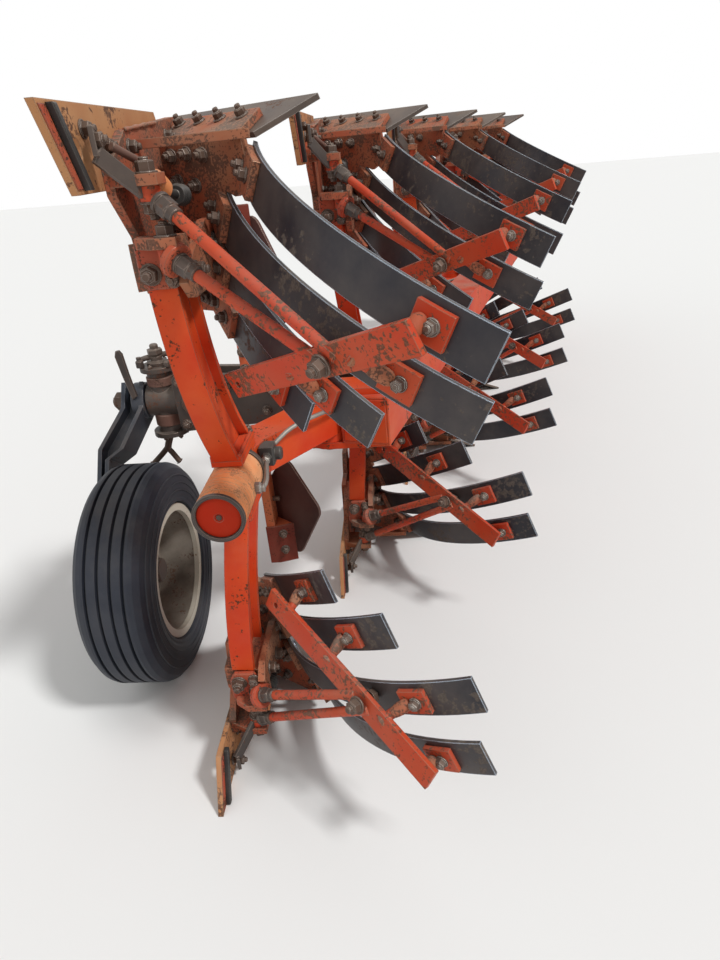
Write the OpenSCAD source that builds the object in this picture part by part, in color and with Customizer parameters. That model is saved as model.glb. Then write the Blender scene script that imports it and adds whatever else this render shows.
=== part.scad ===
// Mounted reversible mouldboard plough with slatted mouldboards.
// The upper bodies mirror the lower ones in the level plane through the beam.
// Frame: +X right, +Y forward (travel), +Z up, floor at z = 0, millimetres.
// A body's own place: x from the landside's outer face, y from its heel, z from its share's edge.

/* [Layout] */
// Number of body pairs along the beam
pairs = 5; // [5:1:5]
// Distance from one pair to the next along the travel
pair_pitch = 910; // [905:5:940]
// Width of one furrow, the step of each pair to the side
furrow_w = 270; // [266:1:275]
// Height of the beam's middle above the floor
beam_h = 825; // [815:1:850]

/* [Main beam] */
// Side of the square beam tube
beam_side = 150; // [130:5:165]
// Wall of the beam tube
beam_wall = 10; // [6:1:14]
// Beam's middle to the side of the landside plane, where it passes the legs
beam_off = 322; // [318:1:328]
// Place where the beam starts, ahead of the rear pair's heel
beam_start = 690; // [670:5:705]
// Place where the beam ends, ahead of the front pair's heel
beam_past = 1030; // [1020:5:1060]

/* [Legs] */
// Leg's middle plane from the landside's outer face
leg_x = 112; // [108:1:116]
// Lean of each leg towards the landside
leg_lean = 4.5; // [3.5:0.5:5]
// Radius of the leg's curve
leg_r = 590; // [570:5:620]
// Angle that the leg's curve spans
leg_arc = 43; // [41:0.5:44]
// Depth of the leg's I section along the travel
leg_depth = 130; // [110:2:150]
// Width of the leg's flanges
leg_flange_w = 60; // [54:2:66]
// Thickness of the leg's flanges
leg_flange_t = 14; // [10:1:20]
// Thickness of the leg's web
leg_web_t = 16; // [12:1:24]
// Height of the leg's root above the beam's middle
leg_root_h = 76; // [72:1:82]

/* [Leg arm] */
// Place of the arm's pin ahead of the heel
pin_y = 760; // [740:5:775]
// Diameter of the arm's pin
pin_d = 50; // [40:1:60]
// Outside diameter of the arm's pin boss
boss_d = 110; // [96:2:124]
// Thickness of the beam's pin lugs
lug_t = 20; // [14:1:24]

/* [Release cylinder] */
// Outside diameter of the cylinder
cyl_d = 122; // [110:1:130]
// Length of the cylinder's tube behind its carrier
cyl_len = 250; // [220:5:280]

/* [Frog and landside] */
// Height of the landside plate
land_h = 140; // [125:5:150]
// Thickness of the landside plate
land_t = 14; // [10:1:18]
// Length of the landside plate
land_len = 560; // [520:5:600]
// Thickness of the frog's plates
frog_t = 18; // [14:1:24]

/* [Share] */
// Reach of the share's edge to the side
share_reach = 400; // [380:5:430]
// Place of the share's point ahead of the heel
share_point_y = 790; // [770:5:810]
// Place of the share's wing end ahead of the heel
share_wing_y = 420; // [400:5:440]
// Width of the share's blade, up its slope
share_w = 132; // [120:2:145]
// Thickness of the share
share_t = 12; // [10:1:16]
// Slope of the share's blade
share_slope = 27; // [22:1:32]

/* [Slats] */
// Width of a mouldboard slat
slat_w = 88; // [78:1:90]
// Thickness of a slat
slat_t = 9; // [7:0.5:12]
// Length of the pad behind a slat's tip
pad_len = 66; // [60:2:72]
// Thickness of the pad
pad_t = 12; // [8:1:16]

/* [Slat stays] */
// Width of the diagonal flat bar behind the slats
bar_w = 58; // [48:2:66]
// Thickness of the diagonal flat bar
bar_t = 12; // [10:1:16]
// Turn of the diagonal bar about its own length
bar_roll = -15; // [-20:1:-10]
// Diameter of the round arms and stays
stay_d = 24; // [22:1:28]

/* [Skimmers] */
// Place of the skimmer's stem ahead of the heel
skim_y = 850; // [840:5:860]
// Skimmer board's middle below the beam's middle
skim_drop = 385; // [370:5:395]
// Thickness of the skimmer's board
skim_t = 8; // [6:1:10]
// Height of the skimmer's board
skim_board_h = 370; // [340:10:390]
// Width of the skimmer's board
skim_board_w = 235; // [210:5:245]

/* [Depth wheel] */
// Outside diameter of the tyre
tyre_d = 710; // [690:5:730]
// Width of the tyre
tyre_w = 220; // [205:5:235]
// Depth of the tyre's grooves
groove_depth = 12; // [6:1:16]
// Diameter of the rim's seat
rim_d = 406; // [400:1:412]
// Wheel's middle to the left of the rear landside plane
wheel_x = 310; // [302:1:320]
// Place of the axle ahead of the rear heel
wheel_y = 641; // [625:2:655]
// Place of the swing axle ahead of the rear heel
swing_y = 986; // [984:1:994]
// Diameter of the swing axle
swing_d = 60; // [50:1:66]
// Diameter of the wheel's axle
axle_d = 50; // [40:1:60]
// Depth of the arm's channel section
arm_t = 40; // [34:2:46]
// Width of the arm's channel section
arm_w = 104; // [90:2:110]
// Gap between the arm and the tyre
arm_gap = 20; // [15:1:26]

/* [Headstock] */
// Headstock's middle from the rear landside plane
head_x = 690; // [660:5:720]
// Place of the front frame's arm ahead of the front pair's heel
front_ahead = 872; // [868:1:884]
// Depth of the front frame's arm along the travel
front_depth = 120; // [100:5:125]
// Height of the front frame's arm
front_h = 140; // [120:5:150]
// Diameter of the turnover axle
turn_d = 110; // [100:2:130]
// Step from the rear of the front frame's arm to the turnover housing
head_step = 210; // [205:5:230]
// Length of the turnover housing
head_len = 330; // [300:5:360]
// Distance between the lower link pins' shoulders
link_span = 965; // [960:1:970]
// Diameter of the lower link pins
link_pin_d = 36.6; // [36.6:0.1:37]
// Length of each lower link pin
link_pin_len = 130; // [110:5:150]
// Height of the top link hole above the lower pins
mast_h = 685; // [660:5:700]
// Radius of the turnover crank
crank_r = 150; // [135:5:160]
// Diameter of the top link hole
top_hole_d = 32; // [31.8:0.1:32.4]
// Thickness of the mast plates
mast_t = 25; // [20:1:28]

/* [Parking stand] */
// Outside width of the stand's square leg
stand_w = 60; // [50:1:64]
// Diameter of the stand's foot plate
foot_d = 160; // [140:5:180]
// Stand's middle to the right of the headstock's middle
stand_off = 260; // [240:5:300]

/* [Hidden] */
$fn = 64;
// Running clearance between shafts and holes, on the radius
run_gap = 0.08;
// Gap at a seat of curved faces
seat_gap = 0.3;
// Straight runs that make one round corner of a plate
corner_steps = 6;

// Casting's rear face ahead of the heel, and the feet where the legs bolt on
root_y = 400;
foot_w = 76;
foot_len = 160;
foot_t = 14;
// Thickness of the casting's ribs
rib_t = 16;

yaw = atan2(furrow_w, pair_pitch);
last_y = (pairs - 1) * pair_pitch;
beam_run = last_y + beam_past - beam_start;
front_y = last_y + front_ahead;
head_y = front_y + head_step;
mirror_h = 2 * beam_h;
beam_half = beam_side / 2;

// The whole plough's box, used only to set the origin under its middle
box_left = -wheel_x - tyre_w / 2 - arm_gap - arm_t;
box_right = (pairs - 1) * furrow_w + 702;
box_rear = -188;
box_front = head_y + head_len + 60;
org = [(box_left + box_right) / 2, (box_rear + box_front) / 2, 0];

// Mouldboard slats, lowest first
// columns: root x, root y, root z, tip x, tip y, tip z, lean of the face, radius of the curve
SLATS = [
    [250, 420, 118, 684, -150, 395, 12, 860],
    [165, 470, 190, 671, -95, 521, 8, 900],
    [135, 480, 280, 489, 40, 582, 6, 1100],
    [120, 490, 385, 344, 184, 604, 5, 1400]
];
// Diagonal bar behind the slats: its near and far ends
bar_a = [177, 233, 540];
bar_b = [562, -170, 350];
// Eyes of the stays on the frog's ears
stay_low = [94, 194, 150];
stay_high = [113, 174, 258];
ear_t = 20;
eye_h = 28;
// Length of the frog's seat behind each slat's root
seat_len = 130;
// Share of the bar's length where the lower stay meets it, and from there to the upper one
stay_meet = 0.66;
stay_fork = 0.08;
// Hole near the bar's near end, and its place from that end
bar_hole_d = 15;
bar_hole_in = 32;
// For each slat: place of its pad along the slat, place of its arm on the bar
// columns: along the slat, along the bar
PADS = [
    [0.86, 0.95],
    [0.82, 0.72],
    [0.80, 0.40],
    [0.76, 0.12]
];

// Points and frames

function mix(a, b, f) = a + (b - a) * f;

// A vector turned about X, then Y, then Z by the three angles
function turned(v, r) =
    let (
        a = [v.x, v.y * cos(r.x) - v.z * sin(r.x), v.y * sin(r.x) + v.z * cos(r.x)],
        b = [a.x * cos(r.y) + a.z * sin(r.y), a.y, a.z * cos(r.y) - a.x * sin(r.y)]
    )
    [b.x * cos(r.z) - b.y * sin(r.z), b.x * sin(r.z) + b.y * cos(r.z), b.z];

// Turn that lays the X axis along a vector, with a roll about it
function along(d, roll = 0) = [roll, -asin(d.z / norm(d)), atan2(d.y, d.x)];

// Moves its children to pair i, counted from 0 at the rear
module at_pair(i) {
    translate([i * furrow_w, i * pair_pitch, 0] - org)
        children();
}

// Draws its children below and mirrored above the beam
module both_sides() {
    children();
    translate([0, 0, mirror_h])
        mirror([0, 0, 1])
            children();
}

// Round bar between two points
module rod(p, q, d) {
    v = q - p;
    translate(p)
        rotate(along(v))
            rotate([0, 90, 0])
                cylinder(d = d, h = norm(v));
}

// Flat bar between two points, rolled about its length
module flat_bar(p, q, w, t, roll = 0) {
    v = q - p;
    translate(p)
        rotate(along(v, roll))
            translate([0, -t / 2, -w / 2])
                cube([norm(v), t, w]);
}

// Plate in the YZ plane from x0, of thickness t, with an outline of [y, z] points
module side_plate(x0, t, pts) {
    translate([x0, 0, 0])
        rotate([90, 0, 90])
            linear_extrude(t)
                polygon(pts);
}

// Angle of the outward normal of the run from p to q, on a counter-clockwise outline
function run_normal(p, q) = atan2(p.x - q.x, q.y - p.y);

// Convex outline with round corners of one radius, from the corners' centres, counter-clockwise
module round_plate(pts, r) {
    n = len(pts);
    polygon([
        for (i = [0 : n - 1])
            let (
                a = run_normal(pts[(i + n - 1) % n], pts[i]),
                turn = (run_normal(pts[i], pts[(i + 1) % n]) - a + 360) % 360
            )
            for (k = [0 : corner_steps])
                let (b = a + turn * k / corner_steps)
                pts[i] + r * [cos(b), sin(b)]
    ]);
}

// Slats as arcs

function slat_root(k) = [SLATS[k][0], SLATS[k][1], SLATS[k][2]];
function slat_tip(k) = [SLATS[k][3], SLATS[k][4], SLATS[k][5]];
function slat_chord(k) = slat_tip(k) - slat_root(k);
function slat_turn(k) = along(slat_chord(k), SLATS[k][6]);
function slat_r(k) = SLATS[k][7];
function slat_half(k) = asin(norm(slat_chord(k)) / 2 / slat_r(k));
// Point on slat k at share f of its length, at a distance off behind its face
function slat_point(k, f, off) =
    let (
        h = slat_half(k),
        a = -90 - h + 2 * h * f,
        r = slat_r(k) + off,
        c = [norm(slat_chord(k)) / 2, slat_r(k) * cos(h), 0]
    )
    slat_root(k) + turned(c + [r * cos(a), r * sin(a), 0], slat_turn(k));

// Bent strip along slat k from share f0 to f1, between distances behind the face
module slat_strip(k, f0, f1, off0, off1, w) {
    h = slat_half(k);
    translate(slat_root(k))
        rotate(slat_turn(k))
            translate([norm(slat_chord(k)) / 2, slat_r(k) * cos(h), 0])
                rotate([0, 0, -90 - h + 2 * h * f0])
                    rotate_extrude(angle = 2 * h * (f1 - f0), $fn = 180)
                        translate([slat_r(k) + off0, -w / 2])
                            square([off1 - off0, w]);
}

// Beam and arms

function beam_x(y) = beam_off + (y - 330) * furrow_w / pair_pitch;

// Places its children on the beam's middle line at y, with X across the beam
module on_beam(y) {
    translate([beam_x(y), y, beam_h])
        rotate([0, 0, -yaw])
            children();
}

module main_beam() {
    run = beam_run / cos(yaw);
    color("orangered")
        translate(-org)
            on_beam(beam_start)
                difference() {
                    translate([-beam_half, 0, -beam_half])
                        cube([beam_side, run, beam_side]);
                    translate([-beam_half + beam_wall, beam_wall, -beam_half + beam_wall])
                        cube([beam_side - 2 * beam_wall, run, beam_side - 2 * beam_wall]);
                }
}

// Pin of a leg arm, to the left of the beam
arm_pin = [beam_x(pin_y) - beam_half / cos(yaw) - boss_d / 2 - 6, pin_y, 0];

// Lugs on the beam's top and bottom faces, above and below each arm's boss
module beam_lugs() {
    color("orangered")
        for (i = [0 : pairs - 1])
            at_pair(i)
                for (z = [beam_h - beam_half - lug_t, beam_h + beam_half])
                    translate([0, 0, z])
                        difference() {
                            linear_extrude(lug_t)
                                union() {
                                    translate([arm_pin.x, arm_pin.y])
                                        circle(d = boss_d);
                                    polygon([
                                        [arm_pin.x, pin_y - boss_d / 2],
                                        [beam_x(pin_y) + beam_half / 2, pin_y - boss_d / 2],
                                        [beam_x(pin_y) + beam_half / 2, pin_y + boss_d / 2],
                                        [arm_pin.x, pin_y + boss_d / 2]
                                    ]);
                                }
                            translate([arm_pin.x, arm_pin.y, -1])
                                cylinder(d = pin_d + 2 * run_gap, h = lug_t + 2);
                        }
}

// Casting that carries a pair's legs and its release cylinder, with its pin
module leg_arm(i) {
    boss_h = beam_side - 1;
    color("orangered")
        at_pair(i)
            translate([0, 0, beam_h]) {
                difference() {
                    union() {
                        translate([arm_pin.x, arm_pin.y, -boss_h / 2])
                            cylinder(d = boss_d, h = boss_h);
                        translate([0, 0, -50])
                            linear_extrude(100)
                                polygon([
                                    [leg_x - 38, root_y + 10],
                                    [leg_x + 38, root_y + 10],
                                    [leg_x + 60, root_y + 80],
                                    [arm_pin.x + 40, pin_y - 35],
                                    [arm_pin.x - 40, pin_y + 35],
                                    [leg_x - 38, root_y + 110]
                                ]);
                        translate([leg_x - foot_w / 2, root_y, -leg_root_h + foot_t])
                            cube([foot_w, 50, 2 * (leg_root_h - foot_t)]);
                        for (z = [-leg_root_h, leg_root_h - foot_t])
                            translate([leg_x - foot_w / 2, root_y + 50 - foot_len, z])
                                cube([foot_w, foot_len, foot_t]);
                        side_plate(leg_x - rib_t / 2, rib_t, [
                            [root_y + 20, foot_t - leg_root_h], [root_y + 130, foot_t - leg_root_h],
                            [root_y + 230, -30], [root_y + 230, 30],
                            [root_y + 130, leg_root_h - foot_t], [root_y + 20, leg_root_h - foot_t]
                        ]);
                    }
                    translate([arm_pin.x, arm_pin.y, -boss_h / 2 - 1])
                        cylinder(d = pin_d + 2 * run_gap, h = boss_h + 2);
                }
            }
    color("silver")
        at_pair(i)
            translate([arm_pin.x, arm_pin.y, beam_h]) {
                translate([0, 0, -beam_half - lug_t - 15])
                    cylinder(d = pin_d, h = beam_side + 2 * lug_t + 15);
                translate([0, 0, beam_half + lug_t])
                    cylinder(d = pin_d + 30, h = 12);
            }
}

// Middle of the leg's root ahead of the heel, and the angle of its curve there, above the level
leg_root_mid = 369;
leg_top_a = 35.5;
// Centre of the leg's curve, ahead of the leg and below its root
leg_cy = leg_root_mid + leg_r * cos(leg_top_a);
leg_cz = -leg_r * sin(leg_top_a);
leg_foot_a = leg_arc - leg_top_a;

// Sector of the leg's curve between two angles below the level, with a section of [radius, x]
module leg_sector(a0, a1) {
    translate([leg_x, 0, beam_h - leg_root_h])
        rotate([0, leg_lean, 0])
            translate([0, leg_cy, leg_cz])
                rotate([90, 0, 90])
                    rotate([0, 0, 180 + a0])
                        rotate_extrude(angle = a1 - a0, $fn = 180)
                            children();
}

// Curved leg of I section, from its root by the beam to the frog
module leg() {
    half = leg_depth / 2;
    difference() {
        leg_sector(-leg_top_a - 10, leg_foot_a)
            union() {
                translate([leg_r - half, -leg_flange_w / 2])
                    square([leg_flange_t, leg_flange_w]);
                translate([leg_r + half - leg_flange_t, -leg_flange_w / 2])
                    square([leg_flange_t, leg_flange_w]);
                translate([leg_r - half, -leg_web_t / 2])
                    square([leg_depth, leg_web_t]);
            }
        translate([leg_x - 100, 0, beam_h - leg_root_h])
            cube([200, 900, 200]);
    }
    translate([leg_x - foot_w / 2, root_y + 50 - foot_len, beam_h - leg_root_h - foot_t])
        cube([foot_w, foot_len, foot_t]);
}

module legs(i) {
    color("orangered")
        at_pair(i)
            both_sides()
                leg();
}

module release_cylinders() {
    color("orange")
        for (i = [0 : pairs - 1])
            at_pair(i)
                translate([leg_x, root_y - cyl_len, beam_h])
                    rotate([-90, 0, 0])
                        difference() {
                            cylinder(d = cyl_d, h = cyl_len);
                            translate([0, 0, -1])
                                cylinder(d = cyl_d - 16, h = 9);
                        }
}

// Body

// Right cheek's inner face
cheek_x = 122;
// Half width of the leg's seat on the frog, and the angle that it spans
seat_half = 52;
leg_seat_a = 8;
// Turn of the frog's wing plate in plan
wing_turn = 32;
// Wing plate's outline in [along the plate, height]
WING = [[0, 60], [265, 60], [280, 150], [185, 200], [150, 300], [128, 425], [60, 425], [0, 330]];
// Shelf that carries the share, in [along the share's edge, up its slope], and its thickness
SHELF = [[120, -88], [194, -178], [212, -204], [466, -152], [440, -64], [150, -64]];
shelf_t = 16;
// Flat brace behind the wing plate: its ends, width and thickness
brace_a = [26, 352, 66];
brace_b = [262, 358, 62];
brace_w = 18;
brace_t = 12;

// Ledge under a stay's eye, from x0, with its depth before and behind the eye
module ledge(e, x0, ahead) {
    translate([x0, e.y - 26, e.z - eye_h / 2 - ear_t - seat_gap])
        linear_extrude(ear_t)
            polygon([
                [0, 26 + ahead], [0, 26], [e.x - x0 - 26, 0], [e.x - x0 + 26, 0],
                [e.x - x0 + 26, 52], [e.x - x0 - 10, 26 + ahead]
            ]);
}

module frog() {
    difference() {
        union() {
            side_plate(land_t, frog_t, [
                [190, 100], [300, 40], [640, 8], [720, 8], [640, 140], [540, 300], [500, 420], [430, 420],
                [390, 345], [285, 345], [262, 230], [190, 150]
            ]);
            side_plate(cheek_x, frog_t, [
                [190, 285], [370, 215], [440, 215], [440, 300], [370, 345], [210, 345], [170, 310]
            ]);
            ledge(stay_low, land_t, 70);
            ledge(stay_high, 52, 40);
            translate([52, stay_high.y + 26, stay_high.z - eye_h / 2 - ear_t])
                cube([90, 16, 80]);
            leg_sector(leg_foot_a, leg_foot_a + leg_seat_a)
                translate([leg_r - leg_depth / 2 + 5, -seat_half])
                    square([leg_depth - 10, 2 * seat_half]);
            translate([land_t + 0.6 * frog_t, 520, 0])
                rotate([0, 0, -wing_turn])
                    rotate([90, 0, 0])
                        linear_extrude(frog_t)
                            polygon(WING);
            flat_bar(brace_a, brace_b, brace_w, brace_t);
            on_share()
                translate([0, 0, -seat_gap - shelf_t])
                    linear_extrude(shelf_t)
                        polygon(SHELF);
            for (k = [0 : 3])
                slat_strip(k, 0.02, seat_len / norm(slat_chord(k)), slat_t - 3,
                    slat_t + seat_gap + 16, slat_w - 12);
        }
        for (k = [0 : 3])
            slat_strip(k, -0.1, 0.4, -160, slat_t + seat_gap, slat_w + 4);
        share_space();
    }
}

module frogs(i) {
    color("firebrick")
        at_pair(i)
            both_sides()
                frog();
}

module landsides(i) {
    color("sienna")
        at_pair(i)
            both_sides()
                difference() {
                    side_plate(0, land_t, [
                        [0, 0], [land_len, 0], [land_len + 30, 60], [land_len - 30, land_h], [75, land_h]
                    ]);
                    translate([-1, 110, 72])
                        rotate([0, 90, 0])
                            cylinder(d = 38, h = land_t + 2);
                }
}

share_edge = [share_reach + 10, share_wing_y - share_point_y];
share_len = norm(share_edge);

// Places its children on the share's slope: X along the edge, -Y up the blade
module on_share() {
    translate([-10, share_point_y, 0])
        rotate([0, 0, atan2(share_edge.y, share_edge.x)])
            rotate([-share_slope, 0, 0])
                children();
}

module share() {
    on_share()
        linear_extrude(share_t)
            polygon([[0, 0], [share_len, 0], [share_len - 75, -share_w], [110, -share_w]]);
}

// Space over the share's seat, up to its upper edge
module share_space() {
    on_share()
        translate([-60, -share_w - 2, -seat_gap])
            cube([share_len + 120, share_w + 200, 300]);
}

module shares(i) {
    color("slategray")
        at_pair(i)
            both_sides()
                share();
}

module slats(i) {
    color("dimgray")
        at_pair(i)
            both_sides()
                for (k = [0 : 3])
                    slat_strip(k, 0, 1, 0, slat_t, slat_w);
}

module slat_stay() {
    difference() {
        flat_bar(bar_a, bar_b, bar_w, bar_t, bar_roll);
        translate(bar_a)
            rotate(along(bar_b - bar_a, bar_roll))
                translate([bar_hole_in, bar_t, 0])
                    rotate([90, 0, 0])
                        cylinder(d = bar_hole_d, h = 2 * bar_t);
    }
    for (e = [stay_low, stay_high])
        translate(e - [0, 0, eye_h / 2])
            cylinder(d = stay_d + 16, h = eye_h);
    rod(stay_low, mix(bar_a, bar_b, stay_meet), stay_d);
    rod(stay_high, mix(bar_a, bar_b, stay_meet - stay_fork), stay_d);
    for (k = [0 : 3]) {
        pad_f = PADS[k][0];
        half_f = pad_len / norm(slat_chord(k)) / 2;
        back = slat_t + seat_gap;
        slat_strip(k, pad_f - half_f, pad_f + half_f, back, back + pad_t, slat_w - 28);
        rod(mix(bar_a, bar_b, PADS[k][1]), slat_point(k, pad_f - half_f / 2, back + stay_d / 2 + 2), stay_d);
    }
}

module slat_stays(i) {
    color("brown")
        at_pair(i)
            both_sides()
                slat_stay();
}

// Skimmers

skim_h = beam_h - skim_drop;
skim_x = leg_x - 55;
skim_turn = 40;
skim_corner = 42;

// Stem, its arm to the beam, and the shoe that carries the board
module skimmer_stem() {
    arm_end = beam_x(skim_y + 35) - beam_half - 20;
    arm_z = beam_h - beam_half - lug_t;
    shoe_low = skim_h - skim_board_h / 2 - 20;
    translate([skim_x - 15, skim_y, shoe_low])
        cube([30, 70, arm_z - 10 - shoe_low]);
    translate([skim_x - 15, skim_y, arm_z - 60])
        cube([arm_end - skim_x + 70, 70, 50]);
    translate([arm_end, skim_y, arm_z - 12])
        cube([120, 70, lug_t + 12]);
    translate([skim_x, skim_y + 70, shoe_low - 10])
        linear_extrude(150)
            polygon([
                [-15, 0], [-15, -70], [15, -70], [15 + 80 * cos(skim_turn), -80 * sin(skim_turn)], [15, 0]
            ]);
}

module skimmer_stems() {
    color("firebrick")
        for (i = [0 : pairs - 1])
            at_pair(i)
                both_sides()
                    skimmer_stem();
}

module skimmer_boards() {
    r = skim_corner;
    half = skim_board_h / 2;
    color("maroon")
        for (i = [0 : pairs - 1])
            at_pair(i)
                both_sides()
                    translate([skim_x + 15, skim_y + 70 + skim_t / cos(skim_turn) + seat_gap, skim_h])
                        rotate([0, 0, -skim_turn])
                            rotate([90, 0, 0])
                                linear_extrude(skim_t)
                                    round_plate([
                                        [r, 40 - half + r], [r + 45, r - half], [skim_board_w - r, 30],
                                        [r + 50, half - r], [r, half - 60 - r]
                                    ], r);
}

// Depth wheel

wheel_c = [-wheel_x, wheel_y, tyre_d / 2];

arm_x = -wheel_x - tyre_w / 2 - arm_gap - arm_t;
// Swing hub on the bracket, from its left end, and its post and plates
hub_x0 = arm_x + 160;
hub_len = 170;
post_d = 84;
post_h = 230;
plate_t = 20;

// Space that the beam takes, grown by a seat's gap
module beam_space(grow) {
    on_beam(beam_start)
        translate([-beam_half - grow, -grow, -beam_half - grow])
            cube([beam_side + 2 * grow, beam_run / cos(yaw) + 2 * grow, beam_side + 2 * grow]);
}

// Bracket from the beam to the swing hub, with its upright post
module wheel_bracket() {
    color("dimgray")
        translate(-org)
            difference() {
                union() {
                    translate([hub_x0, swing_y, beam_h])
                        rotate([0, 90, 0])
                            cylinder(d = swing_d + 50, h = hub_len);
                    translate([hub_x0 + 50, swing_y, beam_h - post_h / 2])
                        cylinder(d = post_d, h = post_h);
                    for (z = [beam_h - post_h / 2 - 8, beam_h + post_h / 2 - 8])
                        translate([hub_x0 + 50, swing_y, z])
                            cylinder(d = post_d + 36, h = 16);
                    for (y = [swing_y - 38, swing_y + 58])
                        translate([0, y, beam_h])
                            rotate([90, 0, 0])
                                linear_extrude(plate_t)
                                    round_plate([
                                        [hub_x0 + 130, -75], [beam_x(swing_y), -35],
                                        [beam_x(swing_y), 35], [hub_x0 + 130, 75]
                                    ], 25);
                    translate([hub_x0 + hub_len - 30, swing_y - 42, beam_h - 33])
                        cube([beam_x(swing_y) - hub_x0 - hub_len + 30, 84, 66]);
                }
                translate([hub_x0 - 1, swing_y, beam_h])
                    rotate([0, 90, 0])
                        cylinder(d = swing_d + 2 * run_gap, h = hub_len - 4);
                beam_space(0);
            }
}

// Place along the arm where it has passed outside the tyre
arm_reach = norm([swing_y - wheel_c.y, beam_h - wheel_c.z]);
arm_bend = arm_reach - tyre_d / 2 - 40;

// Left and right edges of the bent arm, from its top down, in [x, along the arm]
ARM_LEFT = [[arm_x + 76, -50], [arm_x + 76, 40], [arm_x, arm_bend - 10], [arm_x, arm_reach + 50]];
ARM_RIGHT = [
    [arm_x + 152, -50], [arm_x + 152, 40], [arm_x + 88, arm_bend - 10], [arm_x + arm_t, arm_bend + 25],
    [arm_x + arm_t, arm_reach + 50]
];
arm_edge_t = 14;

function reversed(list) = [for (i = [len(list) - 1 : -1 : 0]) list[i]];

// Strip of thickness t to the right of an edge of the arm
function edge_strip(edge, t) = concat(edge, [for (p = reversed(edge)) p + [t, 0]]);

// Edge of the arm's web, short of the flanges' ends by 4
function web_edge(edge, dx) = [for (p = edge) p + [dx, p.y < 0 ? 4 : p.y > arm_reach ? -4 : 0]];

// Arm of I section with its swing axle and the wheel's axle
module wheel_arm() {
    color("darkslategray")
        translate([0, swing_y, beam_h] - org) {
            rotate([atan2(wheel_c.z - beam_h, wheel_c.y - swing_y), 0, 0]) {
                for (strip = [edge_strip(ARM_LEFT, arm_edge_t), edge_strip(ARM_RIGHT, -arm_edge_t)])
                    translate([0, 0, -arm_w / 2])
                        linear_extrude(arm_w)
                            polygon(strip);
                translate([2, 0, -8])
                    linear_extrude(16)
                        polygon(concat(web_edge(ARM_LEFT, 0), web_edge(reversed(ARM_RIGHT), -4)));
            }
            translate([arm_x + 113, 0, 0])
                rotate([0, 90, 0])
                    cylinder(d = 124, h = 42);
            translate([arm_x + 120, 0, 0])
                rotate([0, 90, 0])
                    cylinder(d = swing_d, h = hub_x0 + hub_len - 10 - arm_x - 120);
        }
    color("darkslategray")
        translate([arm_x + 3, wheel_y, wheel_c.z] - org)
            rotate([0, 90, 0]) {
                cylinder(d = 92, h = arm_t);
                cylinder(d = axle_d, h = arm_t + arm_gap + tyre_w / 2 + 12);
            }
}

module wheel_rim() {
    color("beige")
        translate(wheel_c - org)
            rotate([0, 90, 0])
                difference() {
                    rotate_extrude($fn = 128)
                        union() {
                            translate([axle_d / 2 + run_gap, -96])
                                square([26, 104]);
                            translate([axle_d / 2 + 10, -52])
                                square([rim_d / 2 - axle_d / 2 - 14, 8]);
                            translate([rim_d / 2 - 8, -94])
                                square([8, 188]);
                            for (z = [-94, 86])
                                translate([rim_d / 2 - 8, z])
                                    square([24, 8]);
                        }
                    for (a = [0 : 60 : 300])
                        rotate([0, 0, a])
                            translate([rim_d / 2 - 62, 0, -60])
                                cylinder(d = 58, h = 30);
                }
}

// Half outline of the tyre's sides, from the rim to the tread, in [radius, x]
TYRE_SIDE = [
    [rim_d / 2 + seat_gap, 84], [rim_d / 2 + 18 + seat_gap, 84], [rim_d / 2 + 22, tyre_w / 2 - 12],
    [rim_d / 2 + 45, tyre_w / 2 - 2], [tyre_d / 2 - 85, tyre_w / 2], [tyre_d / 2 - 48, tyre_w / 2 - 4],
    [tyre_d / 2 - 20, tyre_w / 2 - 14], [tyre_d / 2 - 5, tyre_w / 2 - 30]
];
// Middles of the tyre's grooves across its width
GROOVES = [54, 18, -18, -54];
groove_w = 10;

module wheel_tyre() {
    near = [for (p = reversed(TYRE_SIDE)) [p.x, -p.y]];
    shoulder = [tyre_d / 2, tyre_w / 2 - 44];
    tread = [
        for (g = GROOVES)
            for (q = [[0, 1], [1, 0.6], [1, -0.6], [0, -1]])
                [tyre_d / 2 - q.x * groove_depth, g + q.y * groove_w / 2]
    ];
    color("#202428")
        translate(wheel_c - org)
            rotate([0, 90, 0])
                rotate_extrude($fn = 128)
                    polygon(concat(TYRE_SIDE, [shoulder], tread, [[shoulder.x, -shoulder.y]], near));
}

// Front frame and headstock

hub_d = turn_d + 80;
crank_y = front_y + front_depth;

// Arm from the turnover hub to the beam, with the crank that turns it
module front_frame() {
    color("orangered")
        translate(-org)
            difference() {
                union() {
                    translate([head_x, front_y - 10, beam_h])
                        rotate([-90, 0, 0])
                            cylinder(d = hub_d, h = front_depth + 20);
                    translate([head_x, front_y, beam_h - front_h / 2])
                        cube([beam_x(front_y) - head_x, front_depth, front_h]);
                    translate([head_x - crank_r, crank_y - 10, beam_h])
                        rotate([-90, 0, 0])
                            cylinder(d = 90, h = 20);
                    translate([head_x - crank_r, crank_y - 10, beam_h - 45])
                        cube([crank_r, 20, 90]);
                    translate([head_x - crank_r, crank_y, beam_h])
                        rotate([-90, 0, 0])
                            cylinder(d = 40, h = 34);
                }
                translate([head_x, front_y - 20, beam_h])
                    rotate([-90, 0, 0])
                        cylinder(d = turn_d + 2 * run_gap, h = front_depth + 60);
                beam_space(0);
            }
}

link_h = beam_h - 260;
link_y = head_y + head_len - 40;
link_d = 70;
top_y = link_y - 60;
top_h = link_h + mast_h;
mast_off = 110;

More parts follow.
